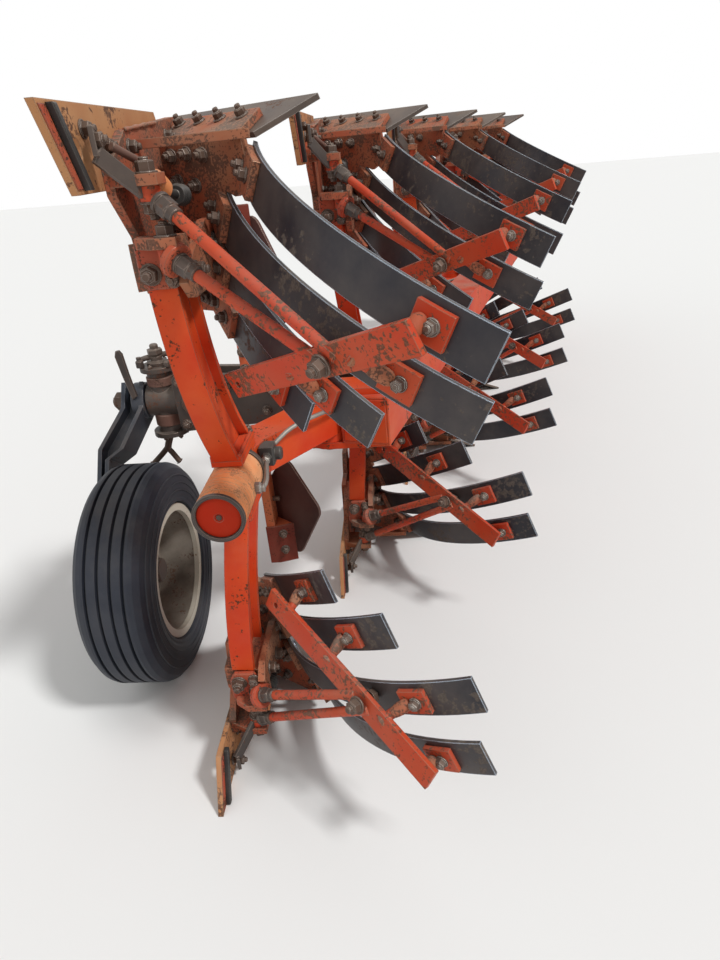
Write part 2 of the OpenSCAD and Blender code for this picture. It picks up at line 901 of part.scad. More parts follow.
module headstock_frame() {
    color("orangered")
        translate(-org)
            difference() {
                union() {
                    translate([head_x, head_y, beam_h])
                        rotate([-90, 0, 0])
                            cylinder(d = turn_d + 60, h = head_len);
                    for (s = [-1, 1])
                        side_plate(head_x + s * mast_off - mast_t / 2, mast_t, [
                            [link_y - 70, link_h - 50], [link_y + 55, link_h - 50],
                            [link_y + 55, link_h + 60],
                            [head_y + head_len, beam_h + 60], [top_y + 45, top_h + 50],
                            [top_y - 45, top_h + 50], [head_y + 20, beam_h + 60], [head_y + 20, beam_h - 120]
                        ]);
                    for (y = [head_y + 60, head_y + head_len - 70])
                        translate([head_x - mast_off, y, beam_h - 110])
                            cube([2 * mast_off, 20, 220]);
                    translate([head_x - mast_off, head_y + 40, top_h - 150])
                        cube([2 * mast_off, 120, 20]);
                }
                translate([head_x, head_y - 1, beam_h])
                    rotate([-90, 0, 0])
                        cylinder(d = turn_d + 2 * run_gap, h = head_len + 2);
                translate([head_x - 200, top_y, top_h])
                    rotate([0, 90, 0])
                        cylinder(d = top_hole_d, h = 400);
                translate([head_x - 200, link_y, link_h])
                    rotate([0, 90, 0])
                        cylinder(d = link_d + 2 * run_gap, h = 400);
            }
}

module turnover_axle() {
    color("silver")
        translate([head_x, front_y - 20, beam_h] - org)
            rotate([-90, 0, 0])
                cylinder(d = turn_d, h = head_y + head_len + 15 - front_y + 20);
}

module link_shaft() {
    color("silver")
        translate([head_x, link_y, link_h] - org)
            rotate([0, 90, 0]) {
                translate([0, 0, -link_span / 2])
                    cylinder(d = link_d, h = link_span);
                translate([0, 0, -link_span / 2 - link_pin_len])
                    cylinder(d = link_pin_d, h = link_span + 2 * link_pin_len);
            }
}

// Cylinder from the mast's top to the crank, with its carrier
module turnover_cylinder() {
    eye_y = crank_y + 60;
    top = [head_x, eye_y, top_h - 100];
    low = [head_x - crank_r, eye_y, beam_h];
    dir = (low - top) / norm(low - top);
    color("firebrick")
        translate(-org) {
            translate([head_x - 40, eye_y - 25, top_h - 130])
                cube([80, head_y + 60 - eye_y + 25, 60]);
            rod(top, top + dir * 280, 76);
            rod(top + dir * 270, low, 36);
            translate(low - [0, 15, 0])
                rotate([-90, 0, 0])
                    cylinder(d = 70, h = 30);
        }
}

// Parking stand behind the front frame's arm
sleeve_wall = 8;
sleeve_h = 240;
stand_gap = 0.5;
stand_at = [head_x + stand_off, front_y - stand_w / 2 - sleeve_wall];

module stand_sleeve() {
    side = stand_w + 2 * sleeve_wall;
    hole = stand_w + 2 * stand_gap;
    color("firebrick")
        translate([stand_at.x, stand_at.y, beam_h - sleeve_h / 2] - org)
            difference() {
                translate([-side / 2, -side / 2, 0])
                    cube([side, side, sleeve_h]);
                translate([-hole / 2, -hole / 2, -1])
                    cube([hole, hole, sleeve_h + 2]);
            }
}

module stand_leg() {
    color("firebrick")
        translate([stand_at.x, stand_at.y, 0] - org) {
            cylinder(d = foot_d, h = 12);
            translate([-stand_w / 2, -stand_w / 2, 5])
                cube([stand_w, stand_w, beam_h + sleeve_h / 2 + 20]);
        }
}

main_beam();
front_frame();
beam_lugs();
leg_arm(0);  // leg_arm_1
leg_arm(1);  // leg_arm_2
leg_arm(2);  // leg_arm_3
leg_arm(3);  // leg_arm_4
leg_arm(4);  // leg_arm_5
legs(0);  // legs_1
legs(1);  // legs_2
legs(2);  // legs_3
legs(3);  // legs_4
legs(4);  // legs_5
frogs(0);  // frogs_1
frogs(1);  // frogs_2
frogs(2);  // frogs_3
frogs(3);  // frogs_4
frogs(4);  // frogs_5
landsides(0);  // landsides_1
landsides(1);  // landsides_2
landsides(2);  // landsides_3
landsides(3);  // landsides_4
landsides(4);  // landsides_5
shares(0);  // shares_1
shares(1);  // shares_2
shares(2);  // shares_3
shares(3);  // shares_4
shares(4);  // shares_5
slats(0);  // slats_1
slats(1);  // slats_2
slats(2);  // slats_3
slats(3);  // slats_4
slats(4);  // slats_5
slat_stays(0);  // slat_stays_1
slat_stays(1);  // slat_stays_2
slat_stays(2);  // slat_stays_3
slat_stays(3);  // slat_stays_4
slat_stays(4);  // slat_stays_5
release_cylinders();
skimmer_stems();
skimmer_boards();
wheel_bracket();
wheel_arm();
wheel_rim();
wheel_tyre();
headstock_frame();
turnover_axle();
link_shaft();
turnover_cylinder();
stand_sleeve();
stand_leg();
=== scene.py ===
"""Looks of a mounted reversible mouldboard plough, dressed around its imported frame.

Lengths in the classes are millimetres in a body's own place: x from the landside's outer
face, y from the heel, z from the share's edge. Layout turns them into metres in the row frame.
"""

import logging
import math
from collections.abc import Sequence
from dataclasses import dataclass, field
from enum import Enum

import bmesh
import bpy
from mathutils import Euler, Matrix, Vector


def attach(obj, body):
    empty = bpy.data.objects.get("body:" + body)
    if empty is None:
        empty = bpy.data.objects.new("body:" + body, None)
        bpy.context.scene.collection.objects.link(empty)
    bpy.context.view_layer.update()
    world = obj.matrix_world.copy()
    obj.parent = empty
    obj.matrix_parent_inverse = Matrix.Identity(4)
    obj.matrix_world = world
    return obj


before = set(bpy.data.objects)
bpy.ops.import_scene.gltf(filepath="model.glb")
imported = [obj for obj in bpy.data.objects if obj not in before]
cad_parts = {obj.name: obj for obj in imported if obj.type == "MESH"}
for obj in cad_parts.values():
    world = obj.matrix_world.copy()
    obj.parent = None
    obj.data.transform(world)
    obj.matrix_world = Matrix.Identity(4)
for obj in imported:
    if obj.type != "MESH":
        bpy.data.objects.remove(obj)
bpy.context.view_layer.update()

LOG = logging.getLogger("plough")
Colour = tuple[float, float, float]
Point = tuple[float, float, float] | Vector
Route = Sequence[Point]
# An outline gives x and y of a plate's corners, a profile radius and height of a turned form, and spots
# two coordinates of places on one face: y and z, or where the face slopes, across and up.
Outline = Profile = Spots = Sequence[tuple[float, float]]
Socket = bpy.types.NodeSocket
MM = 0.001
UP, DOWN = (0, 0, 1), (0, 0, -1)
RIGHT, LEFT = (1, 0, 0), (-1, 0, 0)
AHEAD, BACK = (0, 1, 0), (0, -1, 0)


class Side(Enum):
    """Which row of bodies a detail belongs to."""

    LOWER = "lower"
    UPPER = "upper"


@dataclass(frozen=True)
class Layout:
    """Places of the pairs, in millimetres."""

    pairs: int = 5
    pair_pitch: float = 910.0
    furrow_w: float = 270.0
    beam_h: float = 825.0
    origin_x: float = 651.0
    origin_y: float = 2462.0

    def matrix(self, pair: int = 0, side: Side = Side.LOWER) -> Matrix:
        """Matrix from a body's own place in millimetres to the row frame in metres.

        Args:
            pair: number of the pair, from 0 at the rear.
            side: the lower row, or the upper row that mirrors it.

        Returns:
            The 4 by 4 matrix.
        """
        flip = Matrix.Identity(4)
        if side is Side.UPPER:
            flip = Matrix.Translation((0, 0, 2 * self.beam_h)) @ Matrix.Diagonal((1, 1, -1, 1))
        shift = Vector((pair * self.furrow_w - self.origin_x, pair * self.pair_pitch - self.origin_y, 0))
        return Matrix.Diagonal((MM, MM, MM, 1)) @ Matrix.Translation(shift) @ flip


LAYOUT = Layout()


class Mix(Enum):
    """What a mix blends: Blender's name of it, the places of its two inputs, and that of its output."""

    COLOUR = ("RGBA", 6, 7, 2)
    VALUE = ("FLOAT", 2, 3, 0)


class Nodes:
    """Short calls that add shader nodes to one tree."""

    def __init__(self, tree: bpy.types.NodeTree) -> None:
        """Keeps the tree that the nodes go into."""
        self.tree = tree

    def add(self, kind: str, **settings: object) -> bpy.types.Node:
        """Adds a node of a kind and sets its options.

        Args:
            kind: Blender's name of the node type.
            settings: options of the node by name.

        Returns:
            The new node.
        """
        made = self.tree.nodes.new(kind)
        for name, value in settings.items():
            setattr(made, name, value)
        return made

    def put(self, socket: Socket, value: object) -> None:
        """Links an output socket to an input, or sets the input's own value.

        Args:
            socket: the input.
            value: an output socket, a number, or a colour of three numbers.
        """
        if isinstance(value, Socket):
            self.tree.links.new(value, socket)
        elif isinstance(value, tuple) and socket.type == "RGBA":
            socket.default_value = (*value, 1.0)
        else:
            socket.default_value = value

    def place(self) -> Socket:
        """Position on the object, in metres."""
        return self.add("ShaderNodeTexCoord").outputs["Object"]

    def noise(self, where: object, scale: float, detail: float = 4.0, rough: float = 0.55) -> Socket:
        """Noise value over a position.

        Args:
            where: vector socket of the position.
            scale: noise scale, in turns a metre.
            detail: octaves.
            rough: roughness of the octaves.

        Returns:
            The value socket, about 0 to 1.
        """
        made = self.add("ShaderNodeTexNoise")
        self.put(made.inputs["Vector"], where)
        self.put(made.inputs["Scale"], scale)
        self.put(made.inputs["Detail"], detail)
        self.put(made.inputs["Roughness"], rough)
        return made.outputs["Fac"]

    def sums(self, operation: str, a: object, b: object = 0.0) -> Socket:
        """A Math node of two values.

        Args:
            operation: Blender's name of the operation.
            a: first value or socket.
            b: second value or socket.

        Returns:
            The result's socket.
        """
        made = self.add("ShaderNodeMath", operation=operation)
        self.put(made.inputs[0], a)
        self.put(made.inputs[1], b)
        return made.outputs[0]

    def ramp(self, value: object, low: object, high: object, start: float = 0.0, end: float = 1.0) -> Socket:
        """Smooth step of a value from one number to another.

        Args:
            value: the value or socket.
            low: value where the step starts.
            high: value where the step ends.
            start: result at low.
            end: result at high.

        Returns:
            The result's socket.
        """
        made = self.add("ShaderNodeMapRange", interpolation_type="SMOOTHSTEP")
        given = {"Value": value, "From Min": low, "From Max": high, "To Min": start, "To Max": end}
        for name, number in given.items():
            self.put(made.inputs[name], number)
        return made.outputs["Result"]

    def mix(self, kind: Mix, share: object, a: object, b: object) -> Socket:
        """Mix of two colours or two values.

        Args:
            kind: what is mixed.
            share: how much of the second one shows.
            a: first colour, value or socket.
            b: second colour, value or socket.

        Returns:
            The result's socket.
        """
        data_type, first, second, result = kind.value
        made = self.add("ShaderNodeMix", data_type=data_type)
        self.put(made.inputs["Factor"], share)
        self.put(made.inputs[first], a)
        self.put(made.inputs[second], b)
        return made.outputs[result]


class Effects:
    """Shader groups that several finishes share, each built once.

    The numbers are those of rubbed edges, of the fine speckle in chips, of how chips spread and how high
    they stand, and of the share of broad and fine grain in the surface.
    """

    made: dict[str, bpy.types.NodeTree] = {}
    edge_gain: float = 40.0
    speckle_scale: float = 14.0
    speckle_middle: float = 0.5
    chip_top: float = 0.78
    chip_span: float = 0.45
    chip_soft: float = 0.05
    chip_grain: float = 0.35
    chip_depth: float = 0.65
    grain_share: float = 0.5

    @classmethod
    def group(cls, name: str, inputs: dict[str, float], outputs: list[str]) -> tuple[Nodes, dict, dict]:
        """Starts a group with named value inputs and outputs.

        Args:
            name: the group's name.
            inputs: names of the inputs with their usual values.
            outputs: names of the outputs; Normal is a vector, the others are values.

        Returns:
            The node helper, the input sockets and the output sockets by name.
        """
        tree = bpy.data.node_groups.new(name, "ShaderNodeTree")
        for title, usual in inputs.items():
            socket = tree.interface.new_socket(title, in_out="INPUT", socket_type="NodeSocketFloat")
            socket.default_value = usual
        for title in outputs:
            kind = "NodeSocketVector" if title == "Normal" else "NodeSocketFloat"
            tree.interface.new_socket(title, in_out="OUTPUT", socket_type=kind)
        nodes = Nodes(tree)
        entry = nodes.add("NodeGroupInput")
        result = nodes.add("NodeGroupOutput")
        cls.made[name] = tree
        return nodes, dict(entry.outputs.items()), dict(result.inputs.items())

    @classmethod
    def edge_wear(cls) -> None:
        """Builds the mask of rubbed edges and the normal of slightly rounded ones."""
        usual = {"Radius": 0.004, "Amount": 0.5, "Scale": 60.0}
        nodes, into, out = cls.group("edge_wear", usual, ["Mask", "Normal"])
        bevel = nodes.add("ShaderNodeBevel", samples=4)
        nodes.put(bevel.inputs["Radius"], into["Radius"])
        geometry = nodes.add("ShaderNodeNewGeometry")
        dot = nodes.add("ShaderNodeVectorMath", operation="DOT_PRODUCT")
        nodes.put(dot.inputs[0], bevel.outputs["Normal"])
        nodes.put(dot.inputs[1], geometry.outputs["Normal"])
        turned = nodes.sums("SUBTRACT", 1.0, dot.outputs["Value"])
        broken = nodes.noise(nodes.place(), into["Scale"], detail=5.0, rough=0.7)
        share = nodes.sums("MULTIPLY", broken, into["Amount"])
        worn = nodes.sums("MULTIPLY", turned, nodes.sums("MULTIPLY", share, cls.edge_gain))
        nodes.put(out["Mask"], nodes.ramp(worn, low=0.25, high=0.9))
        nodes.put(out["Normal"], bevel.outputs["Normal"])

    @classmethod
    def chips(cls) -> None:
        """Builds the mask of chipped and flaked places, with a finer speckle."""
        usual = {"Scale": 9.0, "Share": 0.3, "Speckle": 0.4}
        nodes, into, out = cls.group("chips", usual, ["Mask", "Height"])
        where = nodes.place()
        broad = nodes.noise(where, into["Scale"], detail=8.0, rough=0.68)
        fine_scale = nodes.sums("MULTIPLY", into["Scale"], cls.speckle_scale)
        fine = nodes.noise(where, fine_scale, detail=4.0, rough=0.6)
        speckle = nodes.sums("MULTIPLY", nodes.sums("SUBTRACT", fine, cls.speckle_middle), into["Speckle"])
        edge = nodes.sums("SUBTRACT", cls.chip_top, nodes.sums("MULTIPLY", into["Share"], cls.chip_span))
        mask = nodes.ramp(nodes.sums("ADD", broad, speckle), edge, nodes.sums("ADD", edge, cls.chip_soft))
        grain = nodes.sums("MULTIPLY", fine, cls.chip_grain)
        nodes.put(out["Mask"], mask)
        nodes.put(out["Height"], nodes.sums("SUBTRACT", grain, nodes.sums("MULTIPLY", mask, cls.chip_depth)))

    @classmethod
    def dust(cls) -> None:
        """Builds the mask of dust that settles on faces that look up, and in patches."""
        nodes, into, out = cls.group("dust", {"Scale": 6.0, "Amount": 0.5}, ["Mask"])
        normal = nodes.add("ShaderNodeSeparateXYZ")
        nodes.put(normal.inputs[0], nodes.add("ShaderNodeNewGeometry").outputs["Normal"])
        upward = nodes.ramp(normal.outputs["Z"], low=-0.1, high=0.95, start=0.25)
        patches = nodes.noise(nodes.place(), into["Scale"], detail=7.0, rough=0.62)
        settled = nodes.sums("MULTIPLY", upward, nodes.ramp(patches, low=0.36, high=0.7))
        nodes.put(out["Mask"], nodes.sums("MULTIPLY", settled, into["Amount"]))

    @classmethod
    def mottle(cls) -> None:
        """Builds broad and fine colour variation and a fine surface height."""
        nodes, into, out = cls.group("mottle", {"Scale": 4.0, "Grain": 220.0}, ["Broad", "Fine", "Height"])
        where = nodes.place()
        broad = nodes.noise(where, into["Scale"], detail=6.0, rough=0.6)
        fine = nodes.noise(where, into["Grain"], detail=3.0, rough=0.6)
        shares = [nodes.sums("MULTIPLY", part, cls.grain_share) for part in (broad, fine)]
        nodes.put(out["Broad"], nodes.ramp(broad, low=0.32, high=0.7))
        nodes.put(out["Fine"], nodes.ramp(fine, low=0.3, high=0.72))
        nodes.put(out["Height"], nodes.sums("ADD", *shares))

    @classmethod
    def build(cls) -> None:
        """Builds every group."""
        cls.edge_wear()
        cls.chips()
        cls.dust()
        cls.mottle()


FINISHED: dict[str, bpy.types.Material] = {}


@dataclass(frozen=True)
class Finish:
    """A worn surface: a coat, what shows where it is chipped, bright edges and dust."""

    name: str
    slot: str
    coat: Colour
    coat_faded: Colour
    under: Colour
    bare: Colour
    dirt: Colour = (0.30, 0.25, 0.20)
    coat_rough: float = 0.45
    under_rough: float = 0.85
    bare_rough: float = 0.38
    coat_metal: float = 0.0
    under_metal: float = 0.0
    bare_metal: float = 0.8
    chip_scale: float = 9.0
    chip_share: float = 0.3
    chip_speckle: float = 0.5
    edge_radius: float = 0.003
    edge_amount: float = 0.5
    dust_amount: float = 0.35
    bump: float = 0.25
    bump_depth: float = 0.0012
    gloss: float = 0.3
    under_shade: float = 0.55
    dust_rough: float = 0.95
    grain: float = 0.4

    def use(self, nodes: Nodes, group: str, **values: float) -> dict[str, Socket]:
        """Places a shared group with its own values.

        Args:
            nodes: helper of the material's tree.
            group: name of the group.
            values: input values by name.

        Returns:
            The group's outputs by name.
        """
        made = nodes.add("ShaderNodeGroup", node_tree=Effects.made[group])
        for title, value in values.items():
            nodes.put(made.inputs[title], value)
        return dict(made.outputs.items())

    def build(self) -> bpy.types.Material:
        """Builds the material, or gives the one built before."""
        if self.name in FINISHED:
            return FINISHED[self.name]
        material = bpy.data.materials.new(self.name)
        FINISHED[self.name] = material
        material.use_nodes = True
        nodes = Nodes(material.node_tree)
        shader = material.node_tree.nodes["Principled BSDF"]
        edge = self.use(nodes, "edge_wear", Radius=self.edge_radius, Amount=self.edge_amount)
        chips = self.use(nodes, "chips", Scale=self.chip_scale, Share=self.chip_share,
                         Speckle=self.chip_speckle)
        dust = self.use(nodes, "dust", Amount=self.dust_amount)
        mottle = self.use(nodes, "mottle")
        masks = (chips["Mask"], edge["Mask"], dust["Mask"])
        shade = tuple(self.under_shade * part for part in self.under)
        coat = nodes.mix(Mix.COLOUR, mottle["Broad"], self.coat, self.coat_faded)
        under = nodes.mix(Mix.COLOUR, mottle["Fine"], self.under, shade)
        for mask, shown in zip(masks, (under, self.bare, self.dirt)):
            coat = nodes.mix(Mix.COLOUR, mask, coat, shown)
        rough = self.worn(nodes, masks, (self.coat_rough, self.under_rough, self.bare_rough, self.dust_rough))
        metal = self.worn(nodes, masks, (self.coat_metal, self.under_metal, self.bare_metal, 0.0))
        bump = nodes.add("ShaderNodeBump")
        bump.inputs["Strength"].default_value = self.bump
        bump.inputs["Distance"].default_value = self.bump_depth
        grain = nodes.sums("MULTIPLY", mottle["Height"], self.grain)
        nodes.put(bump.inputs["Height"], nodes.sums("ADD", chips["Height"], grain))
        nodes.put(bump.inputs["Normal"], edge["Normal"])
        shader.inputs["Specular IOR Level"].default_value = self.gloss
        nodes.put(shader.inputs["Base Color"], coat)
        nodes.put(shader.inputs["Roughness"], rough)
        nodes.put(shader.inputs["Metallic"], metal)
        nodes.put(shader.inputs["Normal"], bump.outputs["Normal"])
        return material

    @staticmethod
    def worn(nodes: Nodes, masks: Sequence[Socket], levels: Sequence[float]) -> Socket:
        """A value that changes over chips, rubbed edges and dust.

        Args:
            nodes: helper of the material's tree.
            masks: masks of the chips, the edges and the dust.
            levels: the value on the coat, in the chips, on the edges and in the dust.

        Returns:
            The value's socket.
        """
        coat, under, bare, dusty = levels
        value = nodes.ramp(masks[0], 0.0, 1.0, coat, under)
        value = nodes.mix(Mix.VALUE, masks[1], value, bare)
        return nodes.mix(Mix.VALUE, masks[2], value, dusty)


# Each finish gives its name, its slot, and the colours of its coat, faded coat, chips and bare edges.
RUST = (0.13, 0.042, 0.02)
RED = Finish(
    "red_enamel", "red_paint", (0.56, 0.036, 0.007), (0.64, 0.082, 0.016), RUST, (0.26, 0.13, 0.09),
    coat_rough=0.5, chip_share=0.33, chip_speckle=0.7, dust_amount=0.22, gloss=0.16)
BEAM_RED = Finish(
    "dusty_beam_red", "red_paint", (0.52, 0.04, 0.014), (0.56, 0.09, 0.034), RUST, (0.26, 0.13, 0.09),
    dirt=(0.46, 0.25, 0.2), coat_rough=0.6, chip_share=0.33, dust_amount=0.7, gloss=0.12)
FADED_RED = Finish(
    "sun_faded_red", "faded_red_paint", (0.4, 0.045, 0.02), (0.42, 0.1, 0.05), (0.12, 0.045, 0.028),
    (0.24, 0.13, 0.095), chip_scale=14.0, chip_share=0.5, chip_speckle=0.9, dust_amount=0.3, gloss=0.16)
RUSTY_RED = Finish(
    "rusted_red", "rusty_red_paint", (0.52, 0.045, 0.014), (0.5, 0.08, 0.03), (0.22, 0.085, 0.05),
    (0.34, 0.18, 0.12), chip_scale=7.5, chip_share=0.48, chip_speckle=1.1, dust_amount=0.3, gloss=0.16)
ORANGE = Finish(
    "scuffed_orange", "orange_paint", (0.72, 0.2, 0.05), (0.8, 0.4, 0.2), (0.55, 0.25, 0.12),
    (0.5, 0.33, 0.2), chip_scale=16.0, chip_share=0.5, coat_rough=0.6, gloss=0.2)
LAND_RUST = Finish(
    "land_rust", "rusty_steel", (0.42, 0.17, 0.065), (0.5, 0.25, 0.11), (0.17, 0.075, 0.04),
    (0.42, 0.27, 0.17), coat_rough=0.75, chip_share=0.5, bare_metal=0.3)
FROG_BROWN = Finish(
    "frog_brown", "faded_red_paint", (0.38, 0.07, 0.028), (0.36, 0.15, 0.075), (0.16, 0.065, 0.038),
    (0.33, 0.19, 0.12), coat_rough=0.7, chip_scale=12.0, chip_share=0.58, chip_speckle=0.9,
    dust_amount=0.5)
SHARE_STEEL = Finish(
    "share_steel", "worn_steel", (0.085, 0.066, 0.058), (0.16, 0.115, 0.09), (0.15, 0.07, 0.042),
    (0.42, 0.38, 0.35), coat_rough=0.5, coat_metal=0.45, chip_share=0.4)
# The slats' bright bare colour is partly rubbed steel and partly a painted reflection: its blue tint stands
# for the sky mirrored in the metal.
SLAT_STEEL = Finish(
    "soil_dark_steel", "slat_steel", (0.024, 0.024, 0.031), (0.072, 0.061, 0.06), (0.115, 0.092, 0.078),
    (0.52, 0.6, 0.7), coat_rough=0.4, coat_metal=0.25, chip_scale=4.5, chip_share=0.43, chip_speckle=0.75,
    edge_amount=0.75, dust_amount=0.3, bump=0.18)
SKIM_STEEL = Finish(
    "skimmer_brown", "skimmer_steel", (0.06, 0.022, 0.02), (0.105, 0.038, 0.03), (0.12, 0.06, 0.042),
    (0.36, 0.27, 0.22), coat_rough=0.5, coat_metal=0.2, chip_share=0.35, edge_amount=0.8)
BARE_STEEL = Finish(
    "greasy_steel", "bare_steel", (0.3, 0.28, 0.26), (0.2, 0.17, 0.15), (0.12, 0.065, 0.04),
    (0.52, 0.5, 0.47), coat_rough=0.38, coat_metal=0.8, chip_share=0.3)
BOLT_RUST = Finish(
    "bolt_rust", "rusty_steel", (0.075, 0.05, 0.04), (0.14, 0.085, 0.06), (0.11, 0.045, 0.025),
    (0.3, 0.26, 0.23), coat_rough=0.6, coat_metal=0.45, chip_share=0.4, edge_radius=0.0015,
    dust_amount=0.3, bump_depth=0.0006)
ZINC = Finish(
    "zinc_steel", "bare_steel", (0.34, 0.32, 0.29), (0.26, 0.23, 0.2), (0.15, 0.09, 0.06),
    (0.55, 0.53, 0.5), coat_rough=0.45, coat_metal=0.8, chip_share=0.3, edge_radius=0.0015,
    bump_depth=0.0006)
DULL_ZINC = Finish(
    "dull_zinc", "bare_steel", (0.2, 0.16, 0.13), (0.14, 0.1, 0.08), (0.1, 0.05, 0.03),
    (0.42, 0.39, 0.36), coat_rough=0.55, coat_metal=0.6, chip_share=0.45, edge_radius=0.0015,
    bump_depth=0.0006)
STEM_ORANGE = Finish(
    "skimmer_orange", "faded_red_paint", (0.58, 0.085, 0.028), (0.56, 0.16, 0.065), (0.14, 0.05, 0.03),
    (0.28, 0.15, 0.1), chip_scale=13.0, chip_share=0.36, chip_speckle=0.8, dust_amount=0.2, gloss=0.16)
SHOE_RED = Finish(
    "shoe_dark_red", "faded_red_paint", (0.22, 0.03, 0.018), (0.18, 0.045, 0.03), (0.09, 0.035, 0.024),
    (0.26, 0.14, 0.1), chip_scale=13.0, chip_share=0.4, chip_speckle=0.8, dust_amount=0.2, gloss=0.12)
END_RED = Finish(
    "cylinder_end_red", "red_paint", (0.42, 0.022, 0.006), (0.46, 0.04, 0.012), (0.1, 0.03, 0.02),
    (0.24, 0.12, 0.09), coat_rough=0.6, chip_share=0.26, dust_amount=0.1, gloss=0.08)
# Painted shade: the cream-painted rim is coloured dark all over, as if its dish lay in shadow; only the rim
# lips keep the cream.
RIM_PAINTED_SHADE = Finish(
    "rim_painted_shade", "cream_paint", (0.1, 0.082, 0.065), (0.34, 0.3, 0.25), (0.13, 0.06, 0.035),
    (0.2, 0.16, 0.13), chip_share=0.45, dust_amount=0.4)
POST_BROWN = Finish(
    "post_brown", "dark_paint", (0.13, 0.058, 0.042), (0.17, 0.088, 0.065), (0.1, 0.05, 0.035),
    (0.26, 0.19, 0.15), coat_rough=0.7, chip_share=0.4, dust_amount=0.3)
# On the clevis straps this dark finish is painted shade.
DARK = Finish(
    "dirty_dark_paint", "dark_paint", (0.045, 0.036, 0.033), (0.085, 0.06, 0.048), (0.13, 0.055, 0.033),
    (0.22, 0.17, 0.14), chip_share=0.4, dust_amount=0.4)
BLACK = Finish(
    "black_fitting", "dark_paint", (0.018, 0.018, 0.019), (0.035, 0.033, 0.032), (0.07, 0.05, 0.04),
    (0.12, 0.11, 0.1), chip_share=0.2, coat_rough=0.4, dust_amount=0.3, bump_depth=0.0006)
BLUE_GREY = Finish(
    "forged_blue_grey", "blue_grey_paint", (0.026, 0.035, 0.052), (0.05, 0.056, 0.07), (0.08, 0.05, 0.04),
    (0.2, 0.2, 0.21), chip_share=0.3, dust_amount=0.35)
CREAM = Finish(
    "dusty_cream", "cream_paint", (0.56, 0.53, 0.44), (0.46, 0.42, 0.34), (0.22, 0.11, 0.05),
    (0.34, 0.28, 0.22), chip_share=0.3, dust_amount=0.4)
TYRE = Finish(
    "tyre_rubber", "tyre", (0.015, 0.018, 0.027), (0.025, 0.029, 0.041), (0.042, 0.042, 0.046),
    (0.05, 0.052, 0.058), dirt=(0.13, 0.12, 0.11), coat_rough=0.55, bare_metal=0.0, bare_rough=0.7,
    chip_share=0.2, edge_amount=0.3, dust_amount=0.35, bump=0.15)

NODE_FINISH: dict[str, Finish] = {
    "main_beam": BEAM_RED, "front_frame": RED, "beam_lugs": RED, "leg_arm": RED, "legs": RED,
    "frogs": FROG_BROWN, "landsides": LAND_RUST, "shares": SHARE_STEEL, "slats": SLAT_STEEL,
    "slat_stays": RUSTY_RED, "release_cylinders": ORANGE, "skimmer_stems": STEM_ORANGE,
    "skimmer_boards": SKIM_STEEL, "wheel_bracket": DARK, "wheel_arm": BLUE_GREY, "wheel_rim": RIM_PAINTED_SHADE,
    "wheel_tyre": TYRE, "headstock_frame": RED, "turnover_axle": BARE_STEEL, "link_shaft": BARE_STEEL,
    "turnover_cylinder": RED, "stand_sleeve": RED, "stand_leg": RED,
}


@dataclass
class CadDresser:
    """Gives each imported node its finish."""

    finishes: dict[str, Finish] = field(default_factory=lambda: dict(NODE_FINISH))

    def dress(self) -> None:
        """Assigns a finish to every node by its name without the pair's number."""
        for name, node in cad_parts.items():
            kind = name.rstrip("0123456789").rstrip("_")
            finish = self.finishes[kind]
            node.data.materials.clear()
            node.data.materials.append(finish.build())
            LOG.info("dressed %s as %s", name, finish.name)


def facing(at: Point, direction: Point) -> Matrix:
    """Matrix at a point whose Z axis looks along a direction."""
    return Matrix.Translation(at) @ Vector(direction).to_track_quat("Z", "Y").to_matrix().to_4x4()


def lie_along(run: Vector, lean: float) -> Matrix:
    """Turn that lays the X axis along a run, rolled about it by a lean in degrees."""
    yaw, rise = math.atan2(run.y, run.x), math.asin(run.z / run.length)
    return Euler((math.radians(lean), -rise, yaw)).to_matrix()


def inset(outline: Outline, by: float) -> list[tuple[float, float]]:
    """Outline moved inwards by a distance.

    Args:
        outline: counter-clockwise points.
        by: the distance.

    Returns:
        The moved points.
    """
    moved = []
    for i, here in enumerate(outline):
        before, after = Vector(outline[i - 1]), Vector(outline[(i + 1) % len(outline)])
        a = (Vector(here) - before).normalized()
        b = (after - Vector(here)).normalized()
        inward_a, inward_b = Vector((-a.y, a.x)), Vector((-b.y, b.x))
        shift = (inward_a + inward_b) * (by / max(0.25, 1 + inward_a.dot(inward_b)))
        moved.append((here[0] + shift.x, here[1] + shift.y))
    return moved


